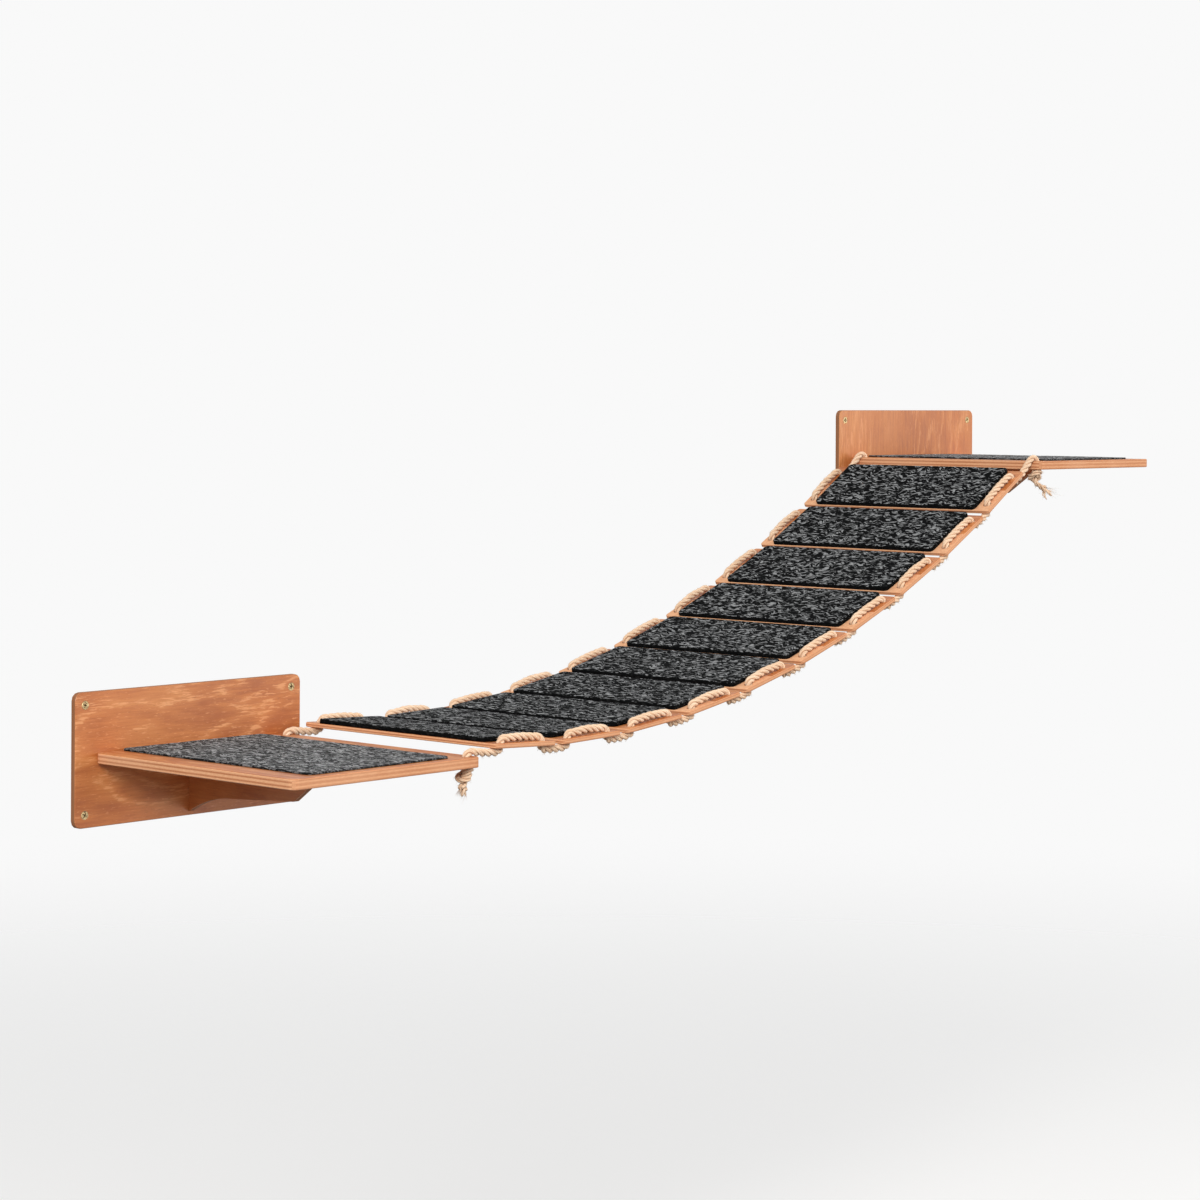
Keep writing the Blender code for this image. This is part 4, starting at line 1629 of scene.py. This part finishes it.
    def build(self) -> None:
        """Make the rope's pieces from the lower knot to the upper one."""
        self.lay_out()
        self.twist()
        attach(self.cut("lower_knot", "start", "lower_hole", self.ends[0]), SHELVES)
        self.turning(self.cut("lower_end", "lower_hole", "crest_0"), SHELVES, slat_name(1), 0)
        for slat in range(1, SLATS):
            before, pivot, after = f"crest_{slat - 1}", f"pivot_{slat}", f"crest_{slat}"
            bodies = (slat_name(slat), slat_name(slat + 1))
            if slat == SLATS // 2:
                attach(self.cut("middle_left", before, pivot), bodies[0])
                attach(self.cut("middle_right", pivot, after), bodies[1])
                self.core(pivot, bodies[0])
            else:
                self.turning(self.cut(f"span_{slat:02d}", before, after), *bodies, slat)
        piece = self.cut("upper_end", f"crest_{SLATS - 1}", "upper_hole")
        self.turning(piece, slat_name(SLATS), SHELVES, SLATS)
        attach(self.cut("upper_knot", "upper_hole", "end", self.ends[1]), SHELVES)


@dataclass
class Ropes:
    """Both ropes."""

    hang: Hang = field(default_factory=Hang)
    knot: Knot = field(default_factory=Knot)
    finish: JuteRope = JuteRope()
    lower_end: RopeEnd = RopeEnd(
        ShelfName.LOWER,
        knot_turn=70,
        drop=0.013,
        lean=0.005,
        laid=0.50,
        fan=(-28, 24),
        spread=0.30,
        yarn_length=0.0085,
        width=1.0,
        seed=11,
    )
    upper_end: RopeEnd = RopeEnd(
        ShelfName.UPPER,
        knot_turn=510,
        drop=0.026,
        lean=0.050,
        laid=0.36,
        fan=(-15, 72),
        spread=0.72,
        yarn_length=0.0140,
        width=0.85,
        seed=29,
    )
    ropes: tuple = (("front_rope", RopeSide.FRONT, 3), ("rear_rope", RopeSide.REAR, 8))

    def build(self) -> None:
        """Tighten the knot and lace both ropes."""
        self.knot.tighten()
        material = self.finish.material()
        ends = (self.lower_end, self.upper_end)
        for name, side, seed in self.ropes:
            Rope(name, side, seed, self.hang, self.knot, ends, material).build()


# ------------------------------------------------------------------------------------------------- studio


@dataclass(frozen=True)
class Lamp:
    """A round soft light: where it hangs, what it is aimed at, its size in metres and its power in watts."""

    name: str
    place: tuple
    target: tuple
    size: float
    power: float
    colour: tuple

    def hang(self) -> None:
        """Put the light in the scene."""
        data = bpy.data.lights.new(self.name, "AREA")
        data.shape, data.size = "DISK", self.size
        data.energy, data.color = self.power, self.colour
        lamp = linked(self.name, data)
        lamp.location = self.place
        aim = Vector(self.target) - Vector(self.place)
        lamp.rotation_mode = "QUATERNION"
        lamp.rotation_quaternion = aim.to_track_quat("-Z", "Y")


@dataclass
class Studio:
    """A pale floor, a soft key light from the upper left, an even sky and the camera."""

    floor_place: tuple = (0.6, 0, -0.95)
    floor_radius: float = 9.0
    floor_corners: int = 96
    floor_fade: tuple = (1.0, 5.5)
    floor_colour: tuple = (0.97, 0.96, 0.95, 1)
    floor_grit: tuple = (0.93, 0.92, 0.91, 1)
    floor_bounce: tuple = (0.20, 0.19, 0.185, 1)
    backdrop: tuple = (0.947, 0.947, 0.947, 1)
    sky_colour: tuple = (0.97, 0.985, 1.0, 1)
    sky_range: tuple = (-0.4, 0.9, 0.11, 0.76)
    camera_place: tuple = (-1.97723, -2.37443, 0.36459)
    camera_yaw: float = 0.833
    camera_roll: float = -0.0054
    camera_lens: float = 88.754
    camera_sensor: float = 36
    camera_shift: tuple = (-0.00176, -0.16821)
    lamps: tuple = (
        Lamp("key", (-3.4, -3.3, 2.3), (0.3, -0.1, 0.05), 2.2, 225.0, (1.0, 0.985, 0.95)),
        Lamp("fill", (3.2, -3.2, 0.9), (1.1, -0.1, 0.2), 2.4, 75.0, (1.0, 0.985, 0.965)),
    )

    def camera(self) -> None:
        """Set the camera at the photograph's viewing angle."""
        data = bpy.data.cameras.new("camera")
        data.sensor_width, data.lens = self.camera_sensor, self.camera_lens
        data.shift_x, data.shift_y = self.camera_shift
        camera = linked("camera", data)
        yaw, roll = self.camera_yaw, self.camera_roll
        forward = Vector((math.sin(yaw), math.cos(yaw), 0))
        right = Vector((math.cos(yaw), -math.sin(yaw), 0))
        across = math.cos(roll) * right - math.sin(roll) * UP
        over = math.cos(roll) * UP + math.sin(roll) * right
        turn = Matrix((across, over, -forward)).transposed().to_4x4()
        camera.matrix_world = Matrix.Translation(self.camera_place) @ turn
        bpy.context.scene.camera = camera

    def floor(self) -> None:
        """Lay the floor, which fades into the backdrop far from the object."""
        bm = bmesh.new()
        radius, corners = self.floor_radius, self.floor_corners
        bmesh.ops.create_circle(bm, cap_ends=True, segments=corners, radius=radius)
        floor = linked("studio_floor", mesh_from(bm, "studio_floor"))
        floor.location = self.floor_place
        shader = Shader.named("studio_floor")
        place = shader.add("TexCoord").outputs["Object"]
        distance = shader.add("VectorMath", {0: place}, operation="LENGTH").outputs["Value"]
        grit = shader.remap(shader.noise(place, 40.0, 2.0), 0.3, 0.7, 0.0, 0.03)
        pale = shader.mix(grit, self.floor_colour, self.floor_grit)
        matt = shader.add("BsdfDiffuse", {0: shader.mix(shader.seen(), self.floor_bounce, pale)})
        gone = shader.add("BsdfTransparent")
        fade = shader.remap(distance, *self.floor_fade)
        both = shader.add("MixShader", {0: fade, 1: matt.outputs[0], 2: gone.outputs[0]})
        dress(floor, shader.end(both.outputs[0]))

    def sky(self) -> None:
        """Light the room evenly from above, and show a plain pale backdrop."""
        shader = Shader(bpy.data.worlds.new("studio"))
        place = shader.add("TexCoord").outputs["Generated"]
        height = shader.add("SeparateXYZ", {0: place}).outputs[2]
        power = shader.add("MapRange", dict(enumerate((height, *self.sky_range)))).outputs[0]
        light = shader.add("Background", {0: self.sky_colour, 1: power})
        view = shader.add("Background", {0: self.backdrop})
        mixed = shader.add("MixShader", {0: shader.seen(), 1: light.outputs[0], 2: view.outputs[0]})
        bpy.context.scene.world = shader.end(mixed.outputs[0], "OutputWorld")

    def build(self) -> None:
        """Set up the whole studio."""
        bpy.context.scene.view_settings.view_transform = "Standard"
        self.camera()
        for lamp in self.lamps:
            lamp.hang()
        self.floor()
        self.sky()


def main() -> None:
    """Build the scene in order."""
    logging.basicConfig(level=logging.INFO, format="%(message)s")
    for assembly in (Studio(), Ropes(), Woodwork(), FeltPads(), Screws()):
        assembly.build()
        LOG.info("%s: built", type(assembly).__name__)


if __name__ == "__main__":
    main()
